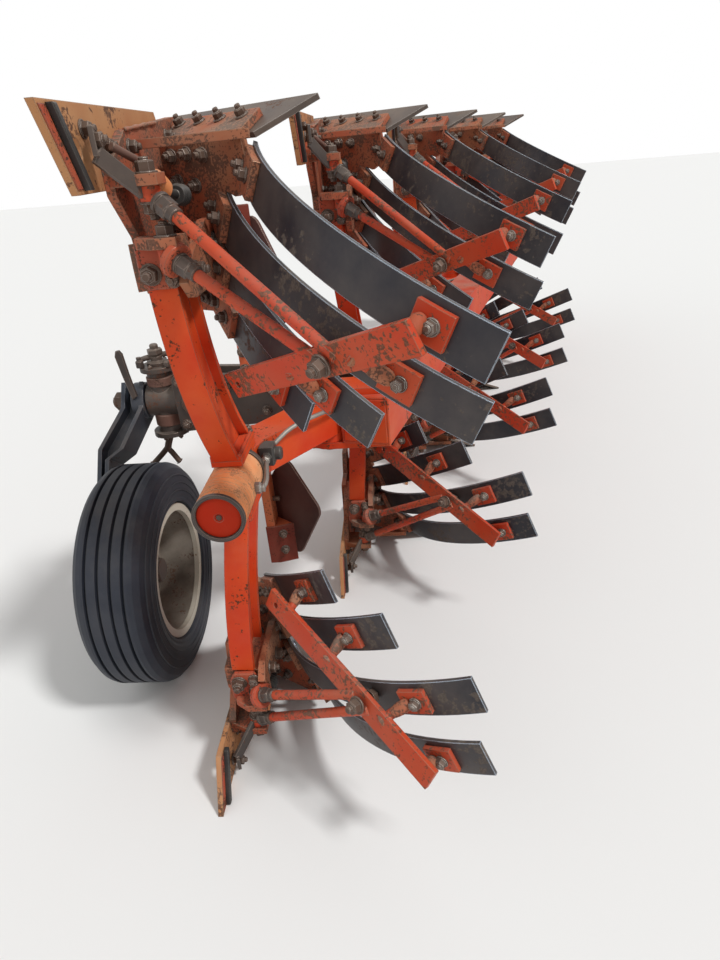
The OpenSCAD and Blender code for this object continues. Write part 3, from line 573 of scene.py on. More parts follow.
class Shape:
    """One piece's mesh, gathered in millimetres in a body's own place.

    The sizes of nuts are shares of their width across flats, and those of heads are shares of their radius.
    """

    nut_h: float = 0.62
    washer_r: float = 0.72
    thread_r: float = 0.31
    head: Profile = ((1.0, -0.03), (1.0, 0.08), (0.86, 0.25), (0.55, 0.39), (0.2, 0.44))
    corner_cut: float = 0.25
    bead_pitch: float = 1.1
    bead_turn: float = 2.6
    bead_dip: float = -0.6
    weld_swell: float = 0.25
    sharp_angle: float = 32.0

    def __init__(self) -> None:
        """Starts an empty mesh."""
        self.bm = bmesh.new()

    def skin(self, rings: list[list[Vector]], closed: bool = False) -> None:
        """Joins rings of points into a skin.

        Args:
            rings: rings with the same number of points.
            closed: True joins the last ring to the first, False caps both ends.
        """
        rows = [[self.bm.verts.new(point) for point in ring] for ring in rings]
        count = len(rows[0])
        pairs = list(zip(rows, rows[1:])) + ([(rows[-1], rows[0])] if closed else [])
        for low, high in pairs:
            for i in range(count):
                j = (i + 1) % count
                self.bm.faces.new((low[i], low[j], high[j], high[i]))
        if not closed:
            self.bm.faces.new(list(reversed(rows[0])))
            self.bm.faces.new(rows[-1])

    def spin(self, where: Matrix, profile: Profile, steps: int = 20, turn: float = 0.0,
             closed: bool = False) -> None:
        """Adds a turned form about the place's Z axis.

        Args:
            where: the place.
            profile: pairs of radius and height.
            steps: corners around the axis.
            turn: turn about the axis in degrees.
            closed: True for a hoop whose profile is a closed section.
        """
        angles = [math.radians(turn) + 2 * math.pi * i / steps for i in range(steps)]
        rings = [[where @ Vector((r * math.cos(a), r * math.sin(a), h)) for a in angles] for r, h in profile]
        self.skin(rings, closed)

    def plate(self, where: Matrix, outline: Outline, depth: float, edge: float = 1.5) -> None:
        """Adds a plate with broken edges.

        Args:
            where: the place; the outline lies in its XY plane and the depth goes along Z.
            outline: counter-clockwise points.
            depth: thickness.
            edge: size of the broken edge.
        """
        inner = inset(outline, edge)
        levels = ((inner, 0.0), (outline, edge), (outline, depth - edge), (inner, depth))
        self.skin([[where @ Vector((x, y, h)) for x, y in points] for points, h in levels])

    def block(self, where: Matrix, size: Point, edge: float = 1.5) -> None:
        """Adds a block with broken edges, centred in X and Y on the place.

        Args:
            where: the place.
            size: width, breadth and depth along Z.
            edge: size of the broken edge.
        """
        x, y = size[0] / 2, size[1] / 2
        self.plate(where, [(-x, -y), (x, -y), (x, y), (-x, y)], size[2], edge)

    def strap(self, start: Point, end: Point, width: float, thickness: float) -> None:
        """Adds a flat bar between two points, with its width across and level.

        Args:
            start: middle of one end.
            end: middle of the other end.
            width: width of the bar.
            thickness: thickness of the bar.
        """
        run = Vector(end) - Vector(start)
        self.block(facing(start, run), (thickness, width, run.length))

    def tube(self, points: Route, radius: float, steps: int = 12, beads: float = 0.0,
             round_run: int = 0) -> None:
        """Adds a round bar or a weld bead along points.

        Args:
            points: the route.
            radius: radius of the bar.
            steps: corners around it.
            beads: share by which the radius swells and shrinks, for a weld.
            round_run: how many times the route's corners are cut round.
        """
        route = [Vector(point) for point in points]
        for _ in range(round_run):
            cut = [route[0]]
            for a, b in zip(route, route[1:]):
                cut += [a.lerp(b, self.corner_cut), a.lerp(b, 1 - self.corner_cut)]
            route = cut + [route[-1]]
        if beads:
            dense = []
            for a, b in zip(route, route[1:]):
                parts = max(2, int((b - a).length / (self.bead_pitch * radius)))
                dense += [a.lerp(b, i / parts) for i in range(parts)]
            route = dense + [route[-1]]
        rings = []
        side = (route[1] - route[0]).orthogonal().normalized()
        for i, here in enumerate(route):
            ahead = (route[min(i + 1, len(route) - 1)] - route[max(i - 1, 0)]).normalized()
            side = (side - ahead * side.dot(ahead)).normalized()
            other = ahead.cross(side)
            swell = math.sin(self.bead_turn * i) * (1 if i % 2 else self.bead_dip)
            size = radius * (1 + beads * swell)
            turns = [2 * math.pi * k / steps for k in range(steps)]
            rings.append([here + (side * math.cos(a) + other * math.sin(a)) * size for a in turns])
        self.skin(rings)

    def weld(self, points: Route, radius: float) -> None:
        """Adds a weld bead of a radius along points."""
        self.tube(points, radius, 8, self.weld_swell)

    def nut(self, at: Point, direction: Point, across: float = 24.0, stud: float = 9.0,
            washer: bool = True) -> None:
        """Adds a hexagon nut or head with its washer and thread end.

        Args:
            at: point on the surface.
            direction: the way it looks.
            across: width across its flats.
            stud: length of thread that stands out, or 0 for a head.
            washer: whether a washer lies under it.
        """
        where = facing(at, direction)
        # Each nut is turned by its place, so that no two stand alike.
        turn = (at[0] * 7 + at[1] * 13 + at[2] * 3) % 60
        base = 0.0
        if washer:
            rim = self.washer_r * across
            self.spin(where, [(rim, -1), (rim, 2.4), (0.68 * across, 3.2)], 18)
            base = 3.0
        corner = across / (2 * math.cos(math.pi / 6))
        top = base + self.nut_h * across
        hexagon = [(corner * 0.95, base - 0.4), (corner, base + 0.8), (corner, top - 0.08 * across),
                   (0.84 * corner, top)]
        self.spin(where, hexagon, 6, turn)
        if stud:
            thread = self.thread_r * across
            self.spin(where, [(thread, top - 1), (thread, top + stud - 2), (0.24 * across, top + stud)], 10)

    def dome(self, at: Point, direction: Point, radius: float = 14.0) -> None:
        """Adds a round bolt head.

        Args:
            at: point on the surface.
            direction: the way it looks.
            radius: radius of the head.
        """
        self.spin(facing(at, direction), [(r * radius, h * radius) for r, h in self.head], 16)

    def hoop(self, at: Point, direction: Point, section: Profile, steps: int = 48) -> None:
        """Adds a ring whose section is a closed list of radius and height."""
        self.spin(facing(at, direction), section, steps, closed=True)

    def make(self, name: str, finish: Finish, places: list[Matrix], body: str = "frame") -> None:
        """Sets the mesh at each place and hands the piece to its body.

        Args:
            name: the piece's name.
            finish: its finish.
            places: matrices from a body's own place to the row frame.
            body: the body it rides on.
        """
        bmesh.ops.recalc_face_normals(self.bm, faces=self.bm.faces)
        whole = bmesh.new()
        for place in places:
            copy = self.bm.copy()
            bmesh.ops.transform(copy, matrix=place, verts=copy.verts)
            if place.determinant() < 0:
                bmesh.ops.reverse_faces(copy, faces=copy.faces)
            part = bpy.data.meshes.new("part")
            copy.to_mesh(part)
            whole.from_mesh(part)
            copy.free()
            bpy.data.meshes.remove(part)
        mesh = bpy.data.meshes.new(name)
        whole.to_mesh(mesh)
        whole.free()
        self.bm.free()
        mesh.shade_smooth()
        mesh.set_sharp_from_angle(angle=math.radians(self.sharp_angle))
        mesh.materials.append(finish.build())
        piece = bpy.data.objects.new(name, mesh)
        bpy.context.scene.collection.objects.link(piece)
        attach(piece, body)
        LOG.info("built %s: %d faces on %s", name, len(mesh.polygons), body)


BODY_PLACES = [LAYOUT.matrix(pair, side) for pair in range(LAYOUT.pairs) for side in Side]
PAIR_PLACES = [LAYOUT.matrix(pair) for pair in range(LAYOUT.pairs)]
REAR_PLACE = [LAYOUT.matrix(0)]


@dataclass(frozen=True)
class Slat:
    """One mouldboard slat, bent to an arc between its root and its tip."""

    root: Point
    tip: Point
    lean: float
    radius: float
    pad_at: float

    def place(self, run: float, off: float) -> tuple[Vector, Vector]:
        """Point along the slat and the way its back looks there.

        Args:
            run: millimetres from the root along the chord.
            off: distance behind the working face.

        Returns:
            The point and the direction away from the face.
        """
        chord = Vector(self.tip) - Vector(self.root)
        half = math.asin(chord.length / 2 / self.radius)
        angle = -math.pi / 2 - half + 2 * half * run / chord.length
        centre = Vector((chord.length / 2, self.radius * math.cos(half), 0))
        spoke = Vector((math.cos(angle), math.sin(angle), 0))
        turned = lie_along(chord, self.lean)
        return Vector(self.root) + turned @ (centre + spoke * (self.radius + off)), turned @ spoke

    def pad_run(self) -> float:
        """Millimetres from the root to the pad's middle."""
        return self.pad_at * (Vector(self.tip) - Vector(self.root)).length


# Each slat gives its root, its tip, its lean in degrees, its bend's radius and its pad's place as a share.
SLATS = (
    Slat((250, 420, 118), (684, -150, 395), 12, 860, 0.86),
    Slat((165, 470, 190), (671, -95, 521), 8, 900, 0.82),
    Slat((135, 480, 280), (489, 40, 582), 6, 1100, 0.80),
    Slat((120, 490, 385), (344, 184, 604), 5, 1400, 0.76),
)


@dataclass
class SlatFixings:
    """Bolts that hold the slats on the frog and on their pads."""

    slat_t: float = 9.3
    pad_t: float = 12.0
    seat_t: float = 16.0
    pad_shift: float = 4.0
    root_runs: tuple[float, float] = (42.0, 98.0)

    def build(self) -> None:
        """Builds the bolts behind and on the slats' faces."""
        pads, roots, faces = Shape(), Shape(), Shape()
        for slat in SLATS:
            pad_run = slat.pad_run() + self.pad_shift
            pads.nut(*slat.place(pad_run, self.slat_t + self.pad_t), across=21, stud=3)
            self.add_head(faces, slat, pad_run, 15)
            for run in self.root_runs:
                roots.nut(*slat.place(run, self.slat_t + self.seat_t), across=22, stud=8)
                self.add_head(faces, slat, run, 14)
        pads.make("slat_pad_bolts", DULL_ZINC, BODY_PLACES)
        roots.make("slat_root_nuts", BOLT_RUST, BODY_PLACES)
        faces.make("slat_face_bolts", SLAT_STEEL, BODY_PLACES)

    @staticmethod
    def add_head(faces: Shape, slat: Slat, run: float, radius: float) -> None:
        """Adds a round bolt head on a slat's working face.

        Args:
            faces: shape that takes the head.
            slat: the slat.
            run: millimetres from the slat's root.
            radius: radius of the head.
        """
        front, back = slat.place(run, 0)
        faces.dome(front, -back, radius)


@dataclass
class StayFixings:
    """Eyes, adjusting nuts and fork bolt of the stays, and the pads' forged necks."""

    bar_near: Point = (177, 233, 540)
    bar_far: Point = (562, -170, 350)
    bar_half: float = 19.0
    bar_lean: float = -15.0
    meet: float = 0.66
    fork: float = 0.08
    low_eye: Point = (94, 194, 150)
    high_eye: Point = (113, 174, 258)
    eye_h: float = 28.0
    eye_reach: float = 34.0
    ledge_t: float = 20.0
    lock_nut: Profile = ((18, 0), (20, 2), (20, 24), (18, 26))
    ferrule: Profile = ((16, 24), (16, 40), (14, 42))
    shoulder: Profile = ((21, -8), (21, -1), (19, 0))
    boss: Profile = ((32, -24), (34, -22), (34, -10), (29, -6), (25, -6))
    arms: tuple[float, ...] = (0.95, 0.72, 0.40, 0.12)
    arm_before: float = 16.0
    arm_off: float = 25.0
    neck_run: float = 38.0
    neck: Profile = ((12.4, 0), (14, 8), (15.5, 22), (15, 38), (11, 46))
    arm_root: Profile = ((14, 5), (17, 7), (16, 12), (12.6, 17))

    def on_bar(self, share: float) -> Vector:
        """Point on the bar's middle line."""
        return Vector(self.bar_near).lerp(Vector(self.bar_far), share)

    def stay_end(self, eye: Point, share: float) -> Matrix:
        """Place where a stay leaves its eye.

        Args:
            eye: middle of the eye.
            share: where the stay meets the bar.

        Returns:
            The place, whose Z axis looks along the stay.
        """
        run = self.on_bar(share) - Vector(eye)
        return facing(Vector(eye) + run * (self.eye_reach / run.length), run)

    def build(self) -> None:
        """Builds the nuts, collars and necks."""
        nuts, collars, necks, bosses = Shape(), Shape(), Shape(), Shape()
        fork_at = self.meet - self.fork
        for eye, share in ((self.low_eye, self.meet), (self.high_eye, fork_at)):
            x, y, z = eye
            nuts.nut((x, y, z + self.eye_h / 2), UP, across=30, stud=10)
            nuts.nut((x, y, z - self.eye_h / 2 - self.ledge_t), DOWN, across=30, stud=6)
            end = self.stay_end(eye, share)
            collars.spin(end, self.lock_nut, 6, 15)
            collars.spin(end, self.ferrule, 18)
            collars.spin(end, self.shoulder, 18)
        bosses.spin(self.stay_end(self.high_eye, fork_at), self.boss, 28)
        run = Vector(self.bar_far) - Vector(self.bar_near)
        normal = lie_along(run, self.bar_lean) @ Vector(BACK)
        at = self.on_bar(self.meet - self.fork / 2)
        nuts.nut(at + normal * self.bar_half, normal, across=30, stud=10)
        nuts.nut(at - normal * self.bar_half, -normal, across=30, stud=5)
        for share, slat in zip(self.arms, SLATS):
            seat, _ = slat.place(slat.pad_run() - self.arm_before, self.arm_off)
            start = self.on_bar(share)
            run = seat - start
            necks.spin(facing(seat - run * (self.neck_run / run.length), run), self.neck, 18)
            necks.spin(facing(start, run), self.arm_root, 18)
        nuts.make("stay_nuts", BOLT_RUST, BODY_PLACES)
        collars.make("stay_collars", DARK, BODY_PLACES)
        bosses.make("stay_bosses", FADED_RED, BODY_PLACES)
        necks.make("pad_necks", FROG_BROWN, BODY_PLACES)


@dataclass
class FrogFixings:
    """Bolts, foot bracket, clevis and welds of the frog."""

    plate_x: float = 32.0
    plate_bolts: Spots = ((309, 70), (360, 110), (560, 50), (612, 48), (470, 230), (480, 330))
    plate_weld: Route = ((33, 300, 40), (33, 440, 28), (33, 500, 24))
    cheek_x: float = 140.0
    cheek_bolts: Spots = ((238, 296), (330, 262), (410, 262))
    ledge_weld: Route = ((54, 204, 246), (138, 204, 246))
    wing_start: Point = (24.8, 520, 0)
    wing_turn: float = -32.0
    wing_t: float = 18.0
    wing_bolts: Spots = (
        (56, 92), (104, 90), (152, 94), (64, 142), (118, 152), (58, 232), (108, 236), (92, 326), (92, 392),
    )
    wing_weld: Spots = ((9, 70), (9, 320))
    foot: Point = (86, 200, 0)
    foot_t: float = 14.0
    # x, z, width across the flats and length of the thread.
    foot_bolts: tuple[tuple[float, ...], ...] = ((66, 292, 30, 12), (108, 304, 22, 8))
    foot_outline: Outline = (
        (-36, 226), (30, 226), (40, 240), (40, 296), (22, 322), (-30, 322), (-44, 300), (-44, 240),
    )
    clevis_bolt: Point = (37, 132, 58)
    clevis_bars: tuple[Route, ...] = (((37, 130, 38), (39, 124, 86)), ((39, 122, 80), (88, 184, 146)))
    clevis_loop: Route = (
        (44, 186, 68), (64, 220, 88), (80, 248, 104), (91, 242, 120), (94, 224, 134), (86, 204, 138),
        (70, 190, 124), (46, 168, 104),
    )
    spacer_at: tuple[Point, Point] = ((94, 226, 132), (0.1, 0.85, 0.5))
    spacer: Profile = ((21, -6), (24, -2), (24, 30), (20, 34))
    spring_at: tuple[Point, Point] = ((110, 300, 160), (0.1, 1, 0.1))
    coil_radii: tuple[float, float] = (17, 21)
    coil_pitch: float = 4
    coils: int = 9
    spring_end: Profile = ((12, 34), (12, 48))
    rod_at: tuple[Point, Point] = ((100, 262, 152), (0.2, 1, 0.2))
    rod: Profile = ((9, 0), (9, 46))

    def build(self) -> None:
        """Builds the frog's small parts."""
        nuts, brackets, welds = Shape(), Shape(), Shape()
        wing = (Matrix.Translation(self.wing_start) @ Matrix.Rotation(math.radians(self.wing_turn), 4, "Z")
                @ Matrix.Rotation(math.radians(90), 4, "X"))
        look = wing.to_3x3() @ Vector(UP)
        for across, up in self.wing_bolts:
            nuts.nut(wing @ Vector((across, up, self.wing_t)), look, across=22, stud=9)
        for y, z in self.plate_bolts:
            nuts.nut((self.plate_x, y, z), RIGHT, across=22, stud=8)
        for y, z in self.cheek_bolts:
            nuts.nut((self.cheek_x, y, z), RIGHT, across=26, stud=9)
        self.add_foot(brackets, nuts)
        nuts.nut(self.clevis_bolt, RIGHT, across=22, stud=8)
        self.build_clevis()
        welds.weld(self.plate_weld, 4)
        welds.weld([wing @ Vector((across, up, self.wing_t)) for across, up in self.wing_weld], 5)
        welds.weld(self.ledge_weld, 4)
        nuts.make("frog_bolts", BOLT_RUST, BODY_PLACES)
        brackets.make("frog_brackets", FADED_RED, BODY_PLACES)
        welds.make("frog_welds", FROG_BROWN, BODY_PLACES)

    def add_foot(self, brackets: Shape, nuts: Shape) -> None:
        """Adds the bolted bracket behind the leg's foot.

        Args:
            brackets: shape that takes the plate.
            nuts: shape that takes the bolts.
        """
        brackets.plate(facing(self.foot, BACK), self.foot_outline, self.foot_t, 2.5)
        for x, z, across, stud in self.foot_bolts:
            nuts.nut((x, self.foot[1] - self.foot_t, z), BACK, across, stud)

    def build_clevis(self) -> None:
        """Builds the bent strap, the round loop, the spacer and the spring by the lower stay's eye."""
        straps, loops, spacers, springs = Shape(), Shape(), Shape(), Shape()
        for start, end in self.clevis_bars:
            straps.strap(start, end, 30, 9)
        loops.tube(self.clevis_loop, 7.5, round_run=3)
        spacers.spin(facing(*self.spacer_at), self.spacer, 22)
        coils = [(self.coil_radii[i % 2], self.coil_pitch * i) for i in range(self.coils)]
        springs.spin(facing(*self.spring_at), [*coils, *self.spring_end])
        springs.spin(facing(*self.rod_at), self.rod, 12)
        # The straps take the dark finish as painted shade, standing for the shadow they lie in.
        straps.make("clevis_straps_painted_shade", DARK, BODY_PLACES)
        loops.make("clevis_loops", POST_BROWN, BODY_PLACES)
        spacers.make("clevis_spacers", ORANGE, BODY_PLACES)
        springs.make("clevis_springs", BLACK, BODY_PLACES)


@dataclass
class LandsideFixings:
    """Heel strip, guard bar and bolts of the landside."""

    land_t: float = 14.0
    sunk: float = 0.5
    bar_t: float = 15.0
    bar: Outline = ((32, 5), (46, 5), (112, 134), (98, 134))
    strip_t: float = 3.0
    strip: Outline = ((7, 7), (29, 7), (94, 132), (73, 132))
    bolts: Spots = ((232, 66), (150, 40), (205, 112))
    heads: Spots = ((240, 70), (330, 60), (430, 60), (520, 60))

    def build(self) -> None:
        """Builds the strips and bolts."""
        bars, strips, nuts = Shape(), Shape(), Shape()
        upright = Matrix(((0, 0, 1, 0), (1, 0, 0, 0), (0, 1, 0, 0), (0, 0, 0, 1)))
        face = Matrix.Translation((self.land_t - self.sunk, 0, 0)) @ upright
        bars.plate(face, self.bar, self.bar_t, 2)
        strips.plate(face, self.strip, self.strip_t, 1)
        for y, z in self.bolts:
            nuts.nut((self.land_t, y, z), RIGHT, across=22, stud=8)
        for y, z in self.heads:
            nuts.dome((0, y, z), LEFT, 15)
        bars.make("landside_bars", BLACK, BODY_PLACES)
        strips.make("landside_strips", FADED_RED, BODY_PLACES)
        nuts.make("landside_bolts", BOLT_RUST, BODY_PLACES)


@dataclass
class ShareFixings:
    """Plough bolts in the share's face and their nuts."""

    edge_start: Point = (-10, 790, 0)
    edge_turn: float = math.degrees(math.atan2(-370, 410))
    slope: float = 27.0
    share_t: float = 12.0
    shelf_t: float = 16.3
    row: float = -92.0
    runs: tuple[float, ...] = (170.0, 250.0, 330.0, 410.0)

    def build(self) -> None:
        """Builds the bolts."""
        heads, nuts = Shape(), Shape()
        where = (Matrix.Translation(self.edge_start) @ Matrix.Rotation(math.radians(self.edge_turn), 4, "Z")
                 @ Matrix.Rotation(math.radians(-self.slope), 4, "X"))
        look = where.to_3x3() @ Vector(UP)
        for run in self.runs:
            heads.dome(where @ Vector((run, self.row, self.share_t)), look, 13)
            nuts.nut(where @ Vector((run, self.row, -self.shelf_t)), -look, across=21, stud=8)
        heads.make("share_bolt_heads", SHARE_STEEL, BODY_PLACES)
        nuts.make("share_nuts", BOLT_RUST, BODY_PLACES)


@dataclass
class LegFixings:
    """Bolts and welds where a leg's foot meets its casting, and the arm's pin."""

    leg_x: float = 112.0
    foot_low: float = 735.0
    front_y: float = 441.0
    bolt_off: float = 28.0
    # x from the leg's middle, and y.
    foot_loop: Spots = ((-32, 292), (32, 292), (32, 438), (-32, 438), (-32, 292))
    arm_weld: Route = ((487, 704, 749), (487, 816, 749))
    pin: Point = (310.3, 760, 932)
    pin_low: float = 722.0
    lock_half: float = 34.0
    stop_off: tuple[float, float] = (28, 4)

    def build(self) -> None:
        """Builds the bolts and welds."""
        nuts, welds, caps = Shape(), Shape(), Shape()
        for off in (-self.bolt_off, self.bolt_off):
            nuts.nut((self.leg_x + off, self.front_y, self.foot_low), DOWN, across=15, stud=5)
        welds.weld([(self.leg_x + x, y, self.foot_low) for x, y in self.foot_loop], 4)
        welds.weld(self.arm_weld, 5)
        nuts.make("leg_foot_bolts", BOLT_RUST, BODY_PLACES)
        welds.make("leg_welds", RED, BODY_PLACES)
        x, y, top = self.pin
        caps.nut(self.pin, UP, across=34, stud=0)
        caps.dome((x + self.stop_off[0], y + self.stop_off[1], top), UP, 5)
        caps.tube([(x - self.lock_half, y, self.pin_low), (x + self.lock_half, y, self.pin_low)], 4, 8)
        caps.make("arm_pin_caps", BOLT_RUST, PAIR_PLACES)


@dataclass
class ReleaseCylinder:
    """End disc, rim, scuffed bands, valve and pipes of the release cylinders."""

    axis_x: float = 112.0
    beam_h: float = 825.0
    rear_y: float = 150.0
    front_y: float = 392.0
    recess: float = 8.0
    disc_before: float = 0.5
    plug_behind: float = 2.5
    disc: Profile = ((52.4, 0), (52.4, 2.5), (50, 4), (11, 4.6), (9, 2.4), (6, 1.2), (2, 1))
    rear_rim: Profile = ((52.7, -7.6), (52.7, 0.5), (57, 1.8), (61.9, 0.4), (61.9, -9))
    front_rim: Profile = ((60.4, -8), (66, -8), (67, -5), (67, 5), (66, 8), (60.4, 8))
    band: Profile = ((60.4, -1.2), (61.6, -0.8), (61.6, 0.8), (60.4, 1.2))
    bands: tuple[float, ...] = (178.0, 205.0, 219.0, 238.0, 262.0, 287.0, 306.0)
    valve: tuple[Point, Point] = ((158, 446, 846), RIGHT)
    valve_size: Point = (46, 52, 42)
    valve_end_at: tuple[Point, Point] = ((198, 446, 846), RIGHT)
    valve_end: Profile = ((16, 0), (18, 3), (18, 16), (14, 20))
    valve_port_at: tuple[Point, Point] = ((180, 425, 846), BACK)
    valve_port: Profile = ((13, -2), (13, 12), (10, 14))
    pipe_runs: tuple[Route, ...] = (
        ((180, 416, 846), (184, 396, 846), (194, 340, 838), (196, 306, 830), (190, 291, 826),
         (172, 291, 826)),
        ((182, 466, 850), (192, 486, 856), (238, 536, 884), (315, 622, 884), (344, 688, 868),
         (354, 704, 862)),
    )
    # Place, the way it looks and width across the flats.
    unions: tuple[tuple, ...] = (
        ((170, 291, 826), RIGHT, 26), ((181, 411, 846), BACK, 20), ((181, 464, 849), AHEAD, 20),
        ((352, 700, 863), (0.4, 0.9, 0), 20),
    )
    union_neck: Profile = ((0.42, 0.5), (0.42, 0.95), (0.34, 1))

    def at(self, y: float) -> Point:
        """Point on the cylinder's axis."""
        return (self.axis_x, y, self.beam_h)

    def build(self) -> None:
        """Builds the cylinder's added parts."""
        disc, rim, bands, plugs = Shape(), Shape(), Shape(), Shape()
        seat = self.rear_y + self.recess
        disc.spin(facing(self.at(seat + self.disc_before), BACK), self.disc, 40)
        plugs.dome(self.at(seat - self.plug_behind), BACK, 7)
        rim.hoop(self.at(self.rear_y), BACK, self.rear_rim, 56)
        for y in self.bands:
            bands.hoop(self.at(y), BACK, self.band, 56)
        rim.hoop(self.at(self.front_y), BACK, self.front_rim, 56)
        disc.make("cylinder_end_discs", END_RED, PAIR_PLACES)
        rim.make("cylinder_rims", DARK, PAIR_PLACES)
        plugs.make("cylinder_end_plugs", BOLT_RUST, PAIR_PLACES)
        bands.make("cylinder_bands", ORANGE, PAIR_PLACES)
        self.build_valve()

    def build_valve(self) -> None:
        """Builds the valve block, its fittings and the pipes to the cylinder and the beam."""
        blocks, pipes, fittings = Shape(), Shape(), Shape()
        blocks.block(facing(*self.valve), self.valve_size, 4)
        blocks.spin(facing(*self.valve_end_at), self.valve_end, 18)
        blocks.spin(facing(*self.valve_port_at), self.valve_port, 6)
        for run in self.pipe_runs:
            pipes.tube(run, 6, round_run=2)
        for at, look, across in self.unions:
            fittings.nut(at, look, across, stud=0, washer=False)
            neck = [(across * radius, across * height) for radius, height in self.union_neck]
            fittings.spin(facing(at, look), neck, 14)
        blocks.make("valve_blocks", BLACK, PAIR_PLACES)
        pipes.make("release_pipes", ZINC, PAIR_PLACES)
        fittings.make("release_fittings", ZINC, PAIR_PLACES)


@dataclass
class SkimmerFixings:
    """Bolts of the skimmers' boards, stems and clamps, and the boards' shoes."""

    stem_x: float = 57.0
    stem_y: float = 850.0
    board_bolts: tuple[float, ...] = (278, 344)
    nut_at: tuple[float, float] = (39, 853)
    nut_look: Point = (0.29, -0.957, 0)
    head_at: tuple[float, float] = (53.3, 898.5)
    head_look: Point = (0.643, 0.766, 0)
    stem_bolts: tuple[float, ...] = (640, 696)
    clamp_x: tuple[float, ...] = (414, 492)
    clamp_y: tuple[float, ...] = (864, 906)
    clamp_low: float = 718.0
    shoe_y: float = 920.0
    shoe_low: float = 223.0
    shoe_h: float = 154.0
    shoe: Outline = ((-18, -74), (16, -74), (80, -54), (78, -48), (15, -69), (-18, -69))
    plug_at: Point = (15, 885, 470)
    plug: Profile = ((9, -1), (9, 22), (6, 25))

    def by_stem(self, x: float, y: float, z: float) -> Point:
        """Point whose x is given from the stem's middle."""
        return (self.stem_x + x, y, z)

    def build(self) -> None:
        """Builds the bolts and the shoes."""
        nuts, heads, shoes = Shape(), Shape(), Shape()
        for z in self.board_bolts:
            nuts.nut(self.by_stem(*self.nut_at, z), self.nut_look, across=22, stud=9)
            heads.dome(self.by_stem(*self.head_at, z), self.head_look, 13)
        foot = Matrix.Translation(self.by_stem(0, self.shoe_y, self.shoe_low))
        shoes.plate(foot, self.shoe, self.shoe_h, 2)
        for z in self.stem_bolts:
            nuts.nut(self.by_stem(0, self.stem_y, z), BACK, across=24, stud=9)
        for x in self.clamp_x:
            for y in self.clamp_y:
                nuts.nut((x, y, self.clamp_low), DOWN, across=24, stud=12)
        nuts.spin(facing(self.by_stem(*self.plug_at), RIGHT), self.plug, 12)
        nuts.make("skimmer_bolts", BOLT_RUST, BODY_PLACES)
        heads.make("skimmer_heads", SKIM_STEEL, BODY_PLACES)
        shoes.make("skimmer_shoes", SHOE_RED, BODY_PLACES)


@dataclass
class DepthWheel:
    """Hub cap, wheel nuts, air valve, rim lips and side rings of the depth wheel."""

    centre: Point = (-310, 641, 355)
    disc_off: float = -44.0
    nuts_at: float = 76.0
    nut_count: int = 6
    cap_off: float = 6.0
    cap: Profile = ((50, 0), (50, 8), (40, 10), (40, 26), (34, 32), (12, 34))
    lip: Profile = ((194.4, 78), (194.4, 95.2), (219.5, 95.2), (219.5, 93))
    # Radius, and distance from the tyre's middle.
    rings: Spots = ((262, 110.0), (286, 108.6), (312, 105.4))
    ring: Profile = ((-3, -2), (-1.6, 1.6), (1.6, 1.6), (3, -2))
    bead_off: float = 100.0
    bead: Profile = ((225, -4), (225, 3), (231, 5), (238, 4), (240, -4))
    air_valve: Route = ((-4, 60, 128), (26, 58, 124))

    def build(self) -> None:
        """Builds the wheel's added parts."""
        x, y, z = self.centre
        nuts, caps, rings, lips = Shape(), Shape(), Shape(), Shape()
        for i in range(self.nut_count):
            a = math.radians(30 + 360 / self.nut_count * i)
            at = (x + self.disc_off, y + self.nuts_at * math.cos(a), z + self.nuts_at * math.sin(a))
            nuts.nut(at, RIGHT, across=24, stud=10)
        caps.spin(facing((x + self.cap_off, y, z), RIGHT), self.cap, 28)
        disc = Vector((x + self.disc_off, y, z))
        caps.tube([disc + Vector(point) for point in self.air_valve], 5, 10)
        for side in (-1, 1):
            lips.hoop((x, y, z), (side, 0, 0), self.lip, 96)
            for radius, off in self.rings:
                section = [(radius + out, up) for out, up in self.ring]
                rings.hoop((x + side * off, y, z), (side, 0, 0), section, 96)
            rings.hoop((x + side * self.bead_off, y, z), (side, 0, 0), self.bead, 96)
        nuts.make("wheel_nuts", BOLT_RUST, REAR_PLACE, "wheel")
        caps.make("wheel_hub_cap", DARK, REAR_PLACE, "wheel")
        rings.make("tyre_rings", TYRE, REAR_PLACE, "wheel")
        lips.make("rim_lips", CREAM, REAR_PLACE, "wheel")


